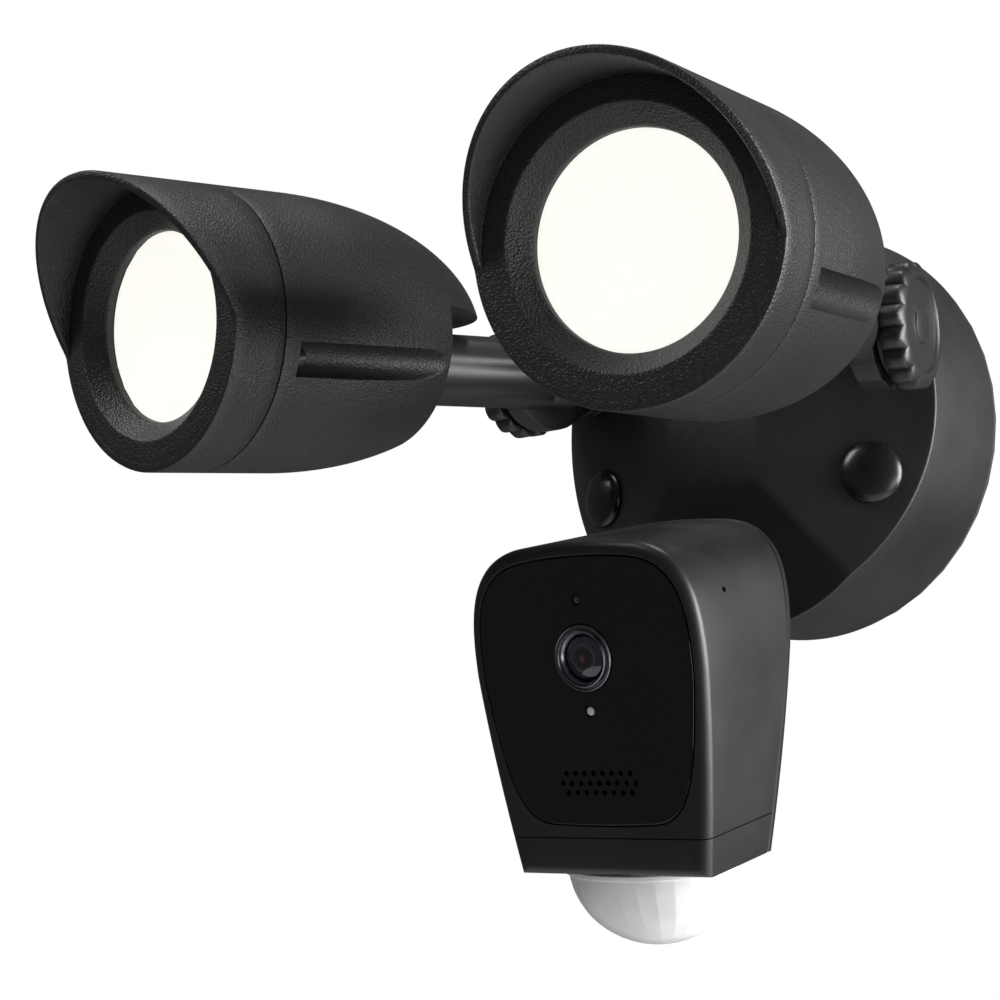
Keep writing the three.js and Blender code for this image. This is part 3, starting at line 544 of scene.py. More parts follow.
def canopy_grid(c):
    """Rings from the centre of the front to the rim, over the rim's rounding, along the side to
    the back, and the same way inside, one wall thickness in."""
    a = np.linspace(0, TAU, 432, endpoint=False)
    cos, sin = np.cos(a), np.sin(a)
    edge = 0.6 * MM

    def ring(radius, y):
        return np.stack([radius * cos, np.broadcast_to(y, a.shape), radius * sin], -1)

    def front(radius, inset):
        return ring(radius, canopy_height(c, radius * cos, radius * sin, inset))

    inner = c.radius - c.wall
    rows = [front(r, 0) for r in np.linspace(0, c.radius - edge, 96)]
    start, corner = front(c.radius - edge, 0), front(c.radius, 0)
    end = corner + np.array([0, edge, 0])
    rows += [(1 - t) ** 2 * start + 2 * t * (1 - t) * corner + t**2 * end for t in np.linspace(0.2, 1, 5)]
    stop = ring(c.radius, -c.back - 0.5 * MM)
    rows += [end + (stop - end) * t for t in (0.33, 0.66, 1.0)]
    rows += [ring(c.radius - 0.4 * MM, -c.back), ring(inner, -c.back)]
    turn_in = front(inner, c.wall)
    back = ring(inner, -c.back)
    rows += [back + (turn_in - back) * t for t in (0.5, 1.0)]
    rows += [front(r, c.wall) for r in np.linspace(inner, 0, 48)[1:]]
    return np.stack(rows)


def cap_grid(c, side):
    """A shallow polished dome, (R sin t, -g - h cos(t)^0.9), over a short skirt and a stem."""
    gap, height = 0.3 * MM, 3.3 * MM
    t = np.linspace(0, math.pi / 2, 18)
    dome = np.stack([c.cap_radius * np.sin(t), -gap - height * np.cos(t) ** 0.9], -1)
    skirt = np.array([[8.55, -0.16], [3.4, -0.16], [3.4, 2.0], [0.0, 2.0]]) * MM
    place = shift(side * c.cap_x, side_facet_y(c, c.cap_x), c.cap_z) @ turn_z(side * c.side_slope)
    return turned(np.vstack([dome, skirt]), place, 72)


# ---- arms ---------------------------------------------------------------------------------------
def tilt_frame(arm):
    """From the right arm's tilt axis, x outwards along it, to the part's frame."""
    return shift(*arm.pivot) @ turn_z(arm.azimuth)


def knob_grid(arm):
    """A lock knob: a round collar, a grip whose radius falls by depth * (1 - |cos(n a / 2)|^0.8)
    at angle a, which leaves n rounded ribs, and a dished face."""
    outer = arm.knob_radius / MM
    rows = np.array([
        [0, 14.95, 0], [3.4, 14.95, 0], [3.4, 7.45, 0], [13.2, 7.45, 0], [13.5, 7.8, 0],
        [13.5, 9.5, 0], [14.0, 9.65, 0], [16.2, 9.65, 0.3],
        [outer - 0.35, 9.85, 0.9], [outer, 10.5, 1], [outer, 12.0, 1], [outer, 14.6, 1],
        [outer - 0.15, 15.4, 0.95], [outer - 0.8, 16.1, 0.7], [15.4, 16.6, 0.2], [14.4, 16.9, 0],
        [13.2, 16.95, 0], [12.7, 16.6, 0], [12.4, 16.1, 0], [5.6, 16.1, 0], [5.2, 16.2, 0], [4.9, 16.7, 0],
        [4.4, 16.9, 0], [0, 16.9, 0]])
    a = np.linspace(0, TAU, arm.flutes * 20, endpoint=False)
    valley = np.abs(np.cos(arm.flutes * a / 2)) ** 0.8
    radius = (rows[:, :1] - 1.75 * rows[:, 2:] * (1 - valley)) * MM
    grid = np.stack([radius * np.cos(a), np.broadcast_to(rows[:, 1:2] * MM, radius.shape),
                     radius * np.sin(a)], -1)
    return placed(tilt_frame(arm) @ turn_z(-math.pi / 2), grid)


# ---- lamps --------------------------------------------------------------------------------------
def lamp_frame(arm, lamp):
    """From the right lamp's frame, y back along its axis from the rim, to the part's frame."""
    return tilt_frame(arm) @ turn_x(arm.droop) @ shift(0, -lamp.reach, lamp.rise)


def bezel_grid(lamp):
    """A ring whose outer wall runs on in front of its face as a visor. The visor's edge lies on a
    leaning plane, so that at angle a its reach is start + (longest - start) sin a, and never
    under zero."""
    a = np.linspace(0, TAU, 256, endpoint=False)
    reach = (lamp.visor_start + (lamp.visor - lamp.visor_start) * np.sin(a)) / MM
    edge = -0.5 * (reach + np.sqrt(reach**2 + 0.3**2)) + 0.02
    zero = np.zeros_like(a)
    outer, back = lamp.radius / MM, lamp.seam / MM - 0.15
    cone, bore, deep = lamp.cone / MM, lamp.lens / MM, lamp.cone_depth / MM
    inner = outer - 2.2
    rows = [
        (bore, zero + deep + 2), (bore, zero + deep + 0.5), (bore + 0.12, zero + deep + 0.12),
        (bore + 0.5, zero + deep - 0.3), (bore + 0.8, zero + deep - 0.6), (cone - 0.7, zero + 0.73),
        (cone - 0.35, zero + 0.4), (cone - 0.05, zero + 0.1), (cone + 0.25, zero), (cone + 0.6, zero),
        (31.5, zero), (33.5, zero), (inner - 0.3, zero), (inner - 0.05, zero + 0.05), (inner, zero),
        (inner, np.minimum(edge * 0.33, 0)), (inner, np.minimum(edge * 0.66, 0)),
        (inner + 0.05, np.minimum(edge + 0.5, 0)), (inner + 0.3, np.minimum(edge + 0.1, 0)),
        (inner + 0.7, edge), (outer - 0.7, edge), (outer - 0.25, edge + 0.15), (outer, edge + 0.7),
    ]
    rows += [(outer, edge + 0.7 + (back - 0.35 - edge - 0.7) * t) for t in (0.2, 0.4, 0.6, 0.8, 1.0)]
    rows += [(outer - 0.12, zero + back - 0.1), (outer - 0.4, zero + back), (31.0, zero + back),
             (31.0, zero + deep + 2)]
    grid = np.stack([np.stack([r * np.cos(a), y, r * np.sin(a)], -1) for r, y in rows])
    return grid * MM


def shell_radius(lamp, y):
    """R up to the straight part's end, then the ellipse R sqrt(1 - t^2)."""
    t = np.clip((y - lamp.straight) / (lamp.total - lamp.straight), 0, 1)
    return lamp.radius * np.sqrt(1 - t**2)


CHANNEL = {"angle": math.radians(-20), "axis": 36.2 * MM, "radius": 4.4 * MM, "start": 20.5 * MM}


def channelled(radius, a, y):
    """Where a ray at angle a meets a screw channel, a round bar's print along the lamp, the wall
    moves in to the bar's near side: d cos b - sqrt(r^2 - d^2 sin^2 b) at angle b from its middle."""
    for middle in (CHANNEL["angle"], math.pi - CHANNEL["angle"]):
        b = (a - middle + math.pi) % TAU - math.pi
        across = (CHANNEL["axis"] * np.sin(b)) ** 2
        inside = (across < CHANNEL["radius"] ** 2) & (np.abs(b) < 1)
        floor = CHANNEL["axis"] * np.cos(b) - np.sqrt(np.maximum(CHANNEL["radius"] ** 2 - across, 0))
        radius = np.where(inside & (y > CHANNEL["start"]), np.minimum(radius, floor), radius)
    return radius


def shell_grid(lamp):
    """Rings from the seam to the tail. Up to the notch they are circles with two channels. Behind
    it the lower part of each ring is the straight chord at the notch's roof, until the ring
    shrinks to a point. Inside, plain rings run from the tail's wall back to the seam."""
    roof = lamp.notch_top
    lean = math.asin(roof / float(shell_radius(lamp, lamp.notch)))
    upper = np.linspace(lean, math.pi - lean, 97)
    half = math.asin(CHANNEL["radius"] / CHANNEL["axis"])
    marks = [np.linspace(math.pi - lean, TAU + lean, 121)]
    for middle in (TAU + CHANNEL["angle"], math.pi - CHANNEL["angle"]):
        marks.append(middle + half * np.sin(np.linspace(-math.pi / 2, math.pi / 2, 21)) * 0.9999)
        marks.append(middle + np.array([-1.004, 1.004]) * half)
    lower = np.unique(np.concatenate(marks))[1:-1]
    share = (lower - lower[0]) / (lower[-1] - lower[0])
    angles = np.concatenate([upper, lower])

    def ring(y, inset=0.0):
        radius = channelled(shell_radius(lamp, y) - inset, angles, y)
        return np.stack([radius * np.cos(angles), np.full_like(angles, y), radius * np.sin(angles)], -1)

    def tail(y):
        radius = float(shell_radius(lamp, y))
        tip = math.asin(min(roof / radius, 1.0))
        arc = np.interp(upper, [upper[0], upper[-1]], [tip, math.pi - tip])
        x = np.concatenate([radius * np.cos(arc), radius * math.cos(tip) * (2 * share - 1)])
        z = np.concatenate([radius * np.sin(arc), np.full_like(share, roof)])
        return np.stack([x, np.full_like(x, y), z], -1)

    front = lamp.seam + 0.15 * MM
    end = lamp.straight + (lamp.total - lamp.straight) * math.sqrt(1 - (roof / lamp.radius) ** 2)
    reach = lamp.notch - lamp.straight
    rows = [ring(front, 0.4 * MM), ring(front + 0.1 * MM, 0.12 * MM), ring(front + 0.4 * MM)]
    rows += [ring(y) for y in (19 * MM, CHANNEL["start"] - 0.02 * MM, CHANNEL["start"] + 0.02 * MM)]
    rows += [ring(y) for y in (24 * MM, 28 * MM, 33 * MM)]
    rows += [ring(lamp.straight + reach * t) for t in np.linspace(0, 1, 36)]
    rows += [tail(lamp.notch + (end - lamp.notch) * math.sin(t)) for t in np.linspace(0, math.pi / 2, 40)]
    outside = np.stack(rows)
    hollow = []
    inside = ((31.2, front / MM), (31.2, 30.0), (29.0, 58.0), (25.0, 73.0), (23.0, 75.0), (0.0, 75.0))
    for radius, y in inside:
        hollow.append(np.stack([radius * MM * np.cos(angles), np.full_like(angles, y * MM),
                                radius * MM * np.sin(angles)], -1))
    return np.concatenate([outside[::-1], np.stack(hollow)])


def lens_grid(lamp):
    """A shallow diffuser, a little proud in the middle, with a stepped rim behind the bezel."""
    lip = lamp.cone_depth / MM + 2
    r = np.linspace(0, lamp.lens / MM - 0.6, 20)
    face = np.stack([r, lip - 0.6 + 0.8 * (r / r[-1]) ** 2], -1)
    rim = np.array([[24.8, lip + 0.7], [25.2, lip + 1.6], [30.6, lip + 1.6], [30.6, lip + 3.6],
                    [0, lip + 3.6]])
    return turned(np.vstack([face, rim]) * MM, segments=144)


# ---- camera head --------------------------------------------------------------------------------
def head_frame(cam):
    """From the tilted head's frame to the part's frame."""
    return shift(*cam.origin) @ turn_x(cam.droop)


def curve(points, count):
    """A Bezier curve of degree 2 or 3, without its last point."""
    t = np.linspace(0, 1, count, endpoint=False)[:, None]
    p = [np.array(q, float) for q in points]
    if len(p) == 2:
        return (1 - t) * p[0] + t * p[1]
    if len(p) == 3:
        return (1 - t) ** 2 * p[0] + 2 * t * (1 - t) * p[1] + t**2 * p[2]
    return (1 - t) ** 3 * p[0] + 3 * t * (1 - t) ** 2 * p[1] + 3 * t**2 * (1 - t) * p[2] + t**3 * p[3]


def outlined(foot, side, shoulder, crown):
    """A closed outline, (x, z), the same on both sides of x = 0: the foot, the right side and
    shoulder, the crown, and then the shoulder and the side again, mirrored."""
    def across(points):
        return [(-x, z) for x, z in reversed(points)]

    parts = ((foot, 32), (side, 44), (shoulder, 56), (crown, 32), (across(shoulder), 56), (across(side), 44))
    return np.concatenate([curve(points, count) for points, count in parts]) * MM


def head_outline(cam, inset=0.0):
    """The head's front outline, (x, z): a straight foot, sides that widen upwards, a crowned top.
    An inset moves its control points in, so its corners stay corners."""
    inset = inset / MM
    top, foot = cam.top / MM - inset, cam.bottom / MM + inset
    heel, widest, peak = 29.9 - inset, 36.8 - inset, 19 - inset
    return outlined(
        [(-heel, foot), (heel, foot)],
        [(heel, foot), (35 - inset, -30), (widest, -6)],
        [(widest, -6), (37.4 - inset, 12), (34.8 - inset, 25.6 - inset), (peak, top - 1.2)],
        [(peak, top - 1.2), (0, top + 0.9), (-peak, top - 1.2)])


def panel_outline(cam, grow=0.0):
    """The face panel's outline: the head's, well inside it, with large lower corners. It has as
    many points as the head's outline, each in the same direction."""
    top = cam.top / MM - 3.9
    outline = outlined(
        [(-16.0, -45.6), (0, -46.4), (16.0, -45.6)],
        [(16.0, -45.6), (26.4, -45.0), (29.9, -35.0), (33.2, -8)],
        [(33.2, -8), (34.2, 11), (31.8, 22.8), (16, top - 1.0)],
        [(16, top - 1.0), (0, top + 0.8), (-16, top - 1.0)])
    return moved_in(outline, -grow)


def moved_in(outline, inset):
    """An outline moved towards its inside along its own normals."""
    along = np.roll(outline, -1, 0) - np.roll(outline, 1, 0)
    along /= np.linalg.norm(along, axis=1, keepdims=True)
    return outline + inset * np.stack([-along[:, 1], along[:, 0]], -1)


def ring_at(outline, y):
    return np.stack([outline[:, 0], np.broadcast_to(y, outline[:, 0].shape), outline[:, 1]], -1)


def seam_y(cam, z, offset=0.0):
    """The upright rear seam in the head's own, tilted frame."""
    return (cam.seam + offset + z * math.sin(cam.droop)) / math.cos(cam.droop)


def centre_of(outline, y):
    middle = (outline.min(0) + outline.max(0)) / 2
    return ring_at(np.broadcast_to(middle, outline.shape), y)


def bevelled_rows(cam):
    """Rings over the rounded front edge: inset b (1 - sin a) at depth b (1 - cos a)."""
    b = cam.bevel
    turn = np.linspace(0, math.pi / 2, 7)
    return [ring_at(head_outline(cam, b * (1 - math.sin(a))), cam.front + b * (1 - math.cos(a)))
            for a in turn]


def head_body_grid(cam):
    """The whole head as one body, from the floor of the panel's recess, over its rim and the
    rounded front edge, back to the rear seam."""
    outline = head_outline(cam)
    recess = panel_outline(cam, 0.3 * MM)
    floor = cam.front + 1.8 * MM
    rows = [centre_of(recess, floor), ring_at(recess, floor), ring_at(recess, cam.front + 0.3 * MM),
            ring_at(moved_in(recess, -0.08 * MM), cam.front + 0.08 * MM),
            ring_at(moved_in(recess, -0.25 * MM), cam.front), ring_at(moved_in(recess, -0.4 * MM), cam.front)]
    rows += bevelled_rows(cam)
    side_start = cam.front + cam.bevel
    side_end = seam_y(cam, outline[:, 1]) - 0.3 * MM
    rows += [ring_at(outline, side_start + (side_end - side_start) * t) for t in (0.25, 0.5, 0.75, 1.0)]
    inner = head_outline(cam, 0.3 * MM)
    rows.append(ring_at(inner, seam_y(cam, inner[:, 1])))
    rows.append(centre_of(outline, seam_y(cam, np.full(len(outline), (cam.top + cam.bottom) / 2))))
    return placed(head_frame(cam), np.stack(rows))


def block(outline, middle, low, high, matrix):
    """A closed block with that outline, (x, y), between two heights."""
    point = np.broadcast_to(middle, outline.shape)
    rows = [np.column_stack([ring, np.full(len(ring), z)])
            for ring, z in ((point, low), (outline, low), (outline, high), (point, high))]
    return placed(matrix, np.stack(rows))


def slab(cam, low, high):
    """A flat block across the head between two heights of its own frame, for cutting it in two."""
    square = np.array([[-60, -100], [60, -100], [60, 30], [-60, 30]]) * MM
    return block(square, (0, 0), low, high, head_frame(cam))


def column(outline, start, end, matrix):
    """A closed column with that outline, (x, z), between two stations of y."""
    rows = [centre_of(outline, start), ring_at(outline, start), ring_at(outline, end),
            centre_of(outline, end)]
    return placed(matrix, np.stack(rows))


def head_hollow(cam):
    """The room inside both halves of the housing, one wall thickness in, open at the back."""
    return column(head_outline(cam, 2.2 * MM), cam.front + 4 * MM, cam.seam + 25 * MM, head_frame(cam))


def bored(radius, start, end, matrix, segments=48):
    """A bar for cutting a hole, along its frame's y."""
    return turned([(0, start), (radius, start), (radius, end), (0, end)], matrix, segments)


BORES = (9.2, 1.5, 1.6)
SPEAKER_ROWS = ((8, 2.6), (9, 0.0), (8, -2.6))
SPEAKER_PITCH, SPEAKER_HOLE = 2.9, 0.75


def windows(cam):
    """Height and bore of the lens, the light sensor and the status light, in millimetres."""
    return [(z / MM, bore) for z, bore in zip((cam.lens_z, cam.sensor_z, cam.light_z), BORES)]


def shell_cutters(cam):
    """Holes of the front shell: lens, windows, speaker's opening and the microphone in the side."""
    frame_of = head_frame(cam)
    start, end = cam.front + 1 * MM, cam.front + 12 * MM
    grids = [bored(bore * MM, start, end, frame_of @ shift(0, 0, z * MM)) for z, bore in windows(cam)]
    opening = rounded([(-12, -4.5), (12, -4.5), (12, 4.5), (-12, 4.5)], 1.0, 3, closed=True) * MM
    grids.append(column(opening, start, cam.front + 6 * MM, frame_of @ shift(0, 0, cam.speaker_z)))
    ear = shift(0, cam.front + 16 * MM, 12.5 * MM) @ turn_z(-math.pi / 2)
    grids.append(bored(0.8 * MM, 30 * MM, 45 * MM, frame_of @ ear, 24))
    return grids


def dome_opening(cam):
    """The elliptic hole under the housing that takes the dome's collar."""
    wide, deep = 22.9 * MM, 15 * MM
    a = np.linspace(0, TAU, 96, endpoint=False)
    outline = np.stack([wide * np.cos(a), cam.dome_y + deep * np.sin(a)], -1)
    return block(outline, (0, cam.dome_y), cam.bottom - 5 * MM, cam.bottom + 8 * MM, head_frame(cam))


def back_plate_grid(cam):
    """A plate on the rear seam with an eased back edge."""
    outline = head_outline(cam)
    z = outline[:, 1]
    middle = np.broadcast_to((0.0, -12 * MM), outline.shape)
    rows = [ring_at(middle, seam_y(cam, middle[:, 1], 0.3 * MM)),
            ring_at(head_outline(cam, 0.3 * MM), seam_y(cam, z, 0.3 * MM)),
            ring_at(outline, seam_y(cam, z, 0.6 * MM)), ring_at(outline, seam_y(cam, z, 1.7 * MM)),
            ring_at(head_outline(cam, 0.3 * MM), seam_y(cam, z, 2.4 * MM)),
            ring_at(head_outline(cam, 1.1 * MM), seam_y(cam, z, 2.8 * MM)),
            ring_at(middle, seam_y(cam, middle[:, 1], 2.8 * MM))]
    return placed(head_frame(cam), np.stack(rows))


def back_swell_grid(cam):
    """Half an upright elliptic column, (w cos a, d sin a), under the hinge: its top shrinks over
    the last 4 mm and its foot follows the head's underside."""
    a = np.linspace(0, TAU, 144, endpoint=False)
    depth = np.where(np.sin(a) > 0, 12.0, 0.0) * MM
    fall = 4 * MM
    shoulder = -13 * MM - fall

    def ring(width, scale, share, lift):
        x, y = width * scale * np.cos(a), cam.seam + 0.6 * MM + depth * scale * np.sin(a)
        foot = (cam.bottom + 0.3 * MM + y * math.sin(cam.droop)) / math.cos(cam.droop)
        return np.stack([x, y, foot + (shoulder - foot) * share + lift], -1)

    rows = [ring(0, 0, 0, 0), ring(29.5 * MM, 0.93, 0, 0), ring(29.7 * MM, 0.985, 0, 0.3 * MM),
            ring(29.9 * MM, 1, 0, 1.0 * MM)]
    rows += [ring((30.0 + 3.0 * t) * MM, 1, t, 0) for t in (0.25, 0.5, 0.75, 1.0)]
    rows += [ring(33 * MM, 1 - 0.12 * (1 - math.cos(b)), 1, fall * math.sin(b))
             for b in np.linspace(0, math.pi / 2, 7)[1:]]
    rows.append(ring(0, 0, 1, fall))
    return placed(shift(*cam.origin), np.stack(rows))


def knuckle_grids(cam):
    """The hinge knuckle: a short round bar across the hinge and a rounded web to the back plate."""
    place = shift(*cam.origin) @ shift(0, -3 * MM, 0) @ turn_z(-math.pi / 2)
    bar = rounded([(2.5, -6.0), (6.2, -6.0), (6.2, 6.0), (2.5, 6.0)], 0.5, 3, closed=True)
    web = rounded([(-5.6, -4.0), (5.6, -4.0), (5.6, 4.0), (-5.6, 4.0)], 0.8, 3, closed=True) * MM
    rows = [ring_at(web * 0, cam.seam + 1.5 * MM), ring_at(web, cam.seam + 1.5 * MM),
            ring_at(web, -7.5 * MM), ring_at(web * 0, -7.5 * MM)]
    return [(turned(bar * MM, place, 64), True), placed(shift(*cam.origin), np.stack(rows))]


def panel_grid(cam):
    """A flat plate with a finely eased front edge."""
    outline = panel_outline(cam)
    rows = [centre_of(outline, cam.front + 0.05 * MM),
            ring_at(moved_in(outline, 0.9 * MM), cam.front + 0.05 * MM),
            ring_at(moved_in(outline, 0.45 * MM), cam.front + 0.05 * MM),
            ring_at(moved_in(outline, 0.18 * MM), cam.front + 0.12 * MM),
            ring_at(moved_in(outline, 0.04 * MM), cam.front + 0.3 * MM),
            ring_at(outline, cam.front + 0.55 * MM), ring_at(outline, cam.front + 1.5 * MM),
            centre_of(outline, cam.front + 1.5 * MM)]
    return placed(head_frame(cam), np.stack(rows))


def panel_cutters(cam):
    """Bars through the panel: the lens, the two small windows and the speaker's three rows."""
    rows = []
    for count, dz in SPEAKER_ROWS:
        x = (np.arange(count) - (count - 1) / 2) * SPEAKER_PITCH
        rows.append(np.stack([x, np.full(count, cam.speaker_z / MM + dz), np.full(count, SPEAKER_HOLE)], -1))
    rows.append([[0, z, bore] for z, bore in windows(cam)])
    start, end = cam.front - 1 * MM, cam.front + 3 * MM
    return [bored(radius, start, end, head_frame(cam) @ shift(x, 0, z), 96 if radius > 2 * MM else 20)
            for x, z, radius in np.vstack(rows) * MM]


def cut_through(mesh, grids, name):
    """The mesh with bars cut out of it."""
    scene = bpy.context.scene.collection
    body = bpy.data.objects.new(name + "_body", mesh)
    tool = bpy.data.objects.new(name + "_tool", mesh_from(name + "_tool", grids))
    scene.objects.link(body)
    scene.objects.link(tool)
    cut = body.modifiers.new("holes", "BOOLEAN")
    cut.operation, cut.solver, cut.object = "DIFFERENCE", "EXACT", tool
    bpy.context.view_layer.update()
    shaped = body.evaluated_get(bpy.context.evaluated_depsgraph_get())
    out = bpy.data.meshes.new_from_object(shaped)
    out.name = name
    if not out.polygons:
        raise RuntimeError("nothing is left of " + name + " after its holes are cut")
    for helper in (body, tool):
        data = helper.data
        bpy.data.objects.remove(helper)
        bpy.data.meshes.remove(data)
    tidy_mesh(out)
    return out


def at_lens(cam, profile, segments=96, height=None):
    """A turned profile in millimetres, y from the head's front face, centred on the lens."""
    z = cam.lens_z if height is None else height
    return placed(head_frame(cam), turned(np.asarray(profile, float) * MM, shift(0, cam.front, z), segments))


def dome_grid(cam):
    """A half ellipsoid under the head. Round it runs a polygon of facets, at 75% of the depth that
    flat ones have, and down it the curve leans by 28% towards five flats. A thin collar stands in
    the opening above it."""
    facets, kept, banded = 28, 0.75, 0.28
    a = np.linspace(0, TAU, facets * 8, endpoint=False)
    wedge = TAU / facets
    flat = math.cos(wedge / 2) / np.cos((a % wedge) - wedge / 2)
    flat = 1 - (1 - flat) * kept
    wide, deep = 26 * MM, 18 * MM
    down = np.linspace(0, math.pi / 2, 33)
    bands = np.round(down / (math.pi / 2) * 5) / 5 * (math.pi / 2)
    down = (1 - banded) * down + banded * bands
    base = cam.bottom - 0.3 * MM

    def ring(scale, z, facet=True):
        shape = flat if facet else 1.0
        return np.stack([wide * scale * np.cos(a) * shape, cam.dome_y + deep * scale * np.sin(a) * shape,
                         np.full_like(a, z)], -1)

    rows = [ring(0, base + 2 * MM), ring(0.86, base + 2 * MM, False), ring(0.87, base, False),
            ring(0.985, base, False), ring(1.0, base - 0.15 * MM, False), ring(1.0, base - 1.3 * MM, False),
            ring(0.985, base - 1.5 * MM, False), ring(0.955, base - 1.5 * MM, False)]
    for b in down[1:]:
        shrink = 0.955 * math.cos(b)
        rows.append(ring(max(shrink, 0.0), base - 1.5 * MM - (cam.dome_drop - 1.6 * MM) * math.sin(b)))
    rows[-1] = ring(0, base - cam.dome_drop + 0.1 * MM)
    return placed(head_frame(cam), np.stack(rows))


# ---- finishes of the record's slots, and pieces that keep the CAD's shape ----------------------
SLOTS = {entry["node"]: entry["material_slot"] for entry in frame["record"]["subparts"]}


def lens_centre(cam):
    return tuple(placed(head_frame(cam), np.array([0, cam.front - 0.5 * MM, cam.lens_z])))


def finish_for(slot):
    """The material of a slot, made the first time that it is asked for."""
    name = "flood_" + slot
    made = bpy.data.materials.get(name)
    if made:
        return made
    scene = bpy.context.scene
    f = scene.flood_finishes
    makers = {
        "satin_black": lambda: satin_black(name, f.satin),
        "grain_black": lambda: leather_grain(name, f.grained),
        "gloss_black": lambda: gloss_black(name, f.gloss),
        "rubber": lambda: rubber(name),
        "zinc": lambda: metal(name, (0.62, 0.63, 0.64), 0.3, spangle=0.6),
        "steel": lambda: metal(name, (0.56, 0.57, 0.59), 0.24),
        "aluminium": lambda: metal(name, (0.75, 0.76, 0.77), 0.32),
        "silver_ring": lambda: metal(name, f.ring, 0.26),
        "diffuser": lambda: diffuser(name, f.glow),
        "white_plastic": lambda: moulded(name, (0.62, 0.62, 0.6)),
        "grey_plastic": lambda: moulded(name, (0.03, 0.031, 0.033), 0.45),
        "dark_glass": lambda: lens_glass(name, lens_centre(scene.flood_camera)),
        "circuit_board": lambda: circuit(name),
    }
    return makers[slot]()


def shaped(node, mesh, material=None):
    """A new surface in place of a CAD node, in its slot's finish unless another is given."""
    return add_piece(node + "_surface", mesh, material or finish_for(SLOTS[node]), node)


def carved(node, grid, cutters, material=None):
    """A new surface in place of a CAD node, cut by each group of bars in turn."""
    name = node + "_surface"
    mesh = mesh_from(name, [grid])
    for grids in cutters:
        mesh = cut_through(mesh, grids, name)
    return shaped(node, mesh, material)


def eased(nodes, bevel=0.3 * MM):
    """Pieces that keep the CAD's shape, with their edges eased, in their slots' finishes."""
    for node in nodes:
        smoothed(node, finish_for(SLOTS[node]), bevel)


def repainted(nodes):
    """CAD nodes that keep their own surface get their slot's material."""
    for node in nodes:
        for place in frame["nodes"][node].material_slots:
            place.material = finish_for(SLOTS[node])


SOCKET_X, SOCKET_Z, BRACKET_Z = 49.5 * MM, 16.5 * MM, -48.5 * MM


def canopy_cutters(c):
    """Bars for the arms' sockets, the cover screws and the camera bracket's stem."""
    grids = []
    for side, _ in SIDES:
        socket = shift(side * SOCKET_X, side_facet_y(c, SOCKET_X), SOCKET_Z) @ turn_z(side * c.side_slope)
        grids.append(bored(6.3 * MM, -12 * MM, 12 * MM, socket))
        grids.append(bored(4.4 * MM, -60 * MM, -20 * MM, shift(side * c.cap_x, 0, c.cap_z)))
    y = -c.depth + (-BRACKET_Z - c.face_half_z) * math.tan(c.lower_slope)
    foot = shift(0, y, BRACKET_Z) @ turn_x(c.lower_slope)
    grids.append(bored(4.3 * MM, -8 * MM, 8 * MM, foot))
    return grids


# ---- operators: one for each group of pieces and one for the stage ------------------------------
class FLOOD_OT_canopy(bpy.types.Operator):
    """Builds the faceted canopy cover and its screw caps, and finishes the parts behind it"""

    bl_idname = "flood.canopy"
    bl_label = "Canopy"

    def execute(self, context):
        c = context.scene.flood_canopy
        finishes = context.scene.flood_finishes
        smooth = satin_black("flood_smooth_cap", finishes.cap, roughness=0.24, grain=0.12)
        grained = satin_black("flood_canopy_grain", finishes.satin, roughness=0.4, grain=0.9, per_metre=1500)
        carved("canopy_cover", canopy_grid(c), [canopy_cutters(c)], grained)
        for side, name in SIDES:
            cap = mesh_from(f"screw_cap_{name}_surface", [cap_grid(c, side)])
            shaped(f"screw_cap_{name}", cap, smooth)
        eased(["canopy_gasket", "wire_grommet", "terminal_block", "light_driver"])
        repainted(["mounting_plate", "canopy_screw_left", "canopy_screw_right"])
        return {"FINISHED"}


class FLOOD_OT_arms(bpy.types.Operator):
    """Builds both arms with their fluted lock knobs, bolts, nuts and seals"""

    bl_idname = "flood.arms"
    bl_label = "Arms"

    def execute(self, context):
        arm = context.scene.flood_arm
        for side, name in SIDES:
            knob = mirrored(side, knob_grid(arm))
            shaped(f"{name}_tilt_knob", mesh_from(f"{name}_tilt_knob_surface", [knob]))
            eased([f"{name}_arm_base", f"{name}_lamp_arm"], 0.6 * MM)
            eased([f"{name}_tilt_bolt", f"{name}_arm_nut", f"{name}_arm_seal"])
        return {"FINISHED"}


class FLOOD_OT_lamps(bpy.types.Operator):
    """Builds both lamps: visored bezel, channelled shell and lit diffuser"""

    bl_idname = "flood.lamps"
    bl_label = "Lamps"

    def execute(self, context):
        arm, lamp = context.scene.flood_arm, context.scene.flood_lamp
        place = lamp_frame(arm, lamp)
        surfaces = {
            "lamp_bezel": (bezel_grid(lamp), True),
            "lamp_shell": (shell_grid(lamp), False),
            "lamp_lens": (lens_grid(lamp), False),
        }
        for side, name in SIDES:
            for part, (grid, closed_rows) in surfaces.items():
                points = mirrored(side, placed(place, grid))
                mesh = mesh_from(f"{name}_{part}_surface", [(points, closed_rows)])
                shaped(f"{name}_{part}", mesh)
            eased([f"{name}_lamp_gasket", f"{name}_lamp_reflector", f"{name}_case_screw_inner",
                   f"{name}_case_screw_outer"], 0.15 * MM)
            repainted([f"{name}_led_board", f"{name}_heat_sink"])
        return {"FINISHED"}


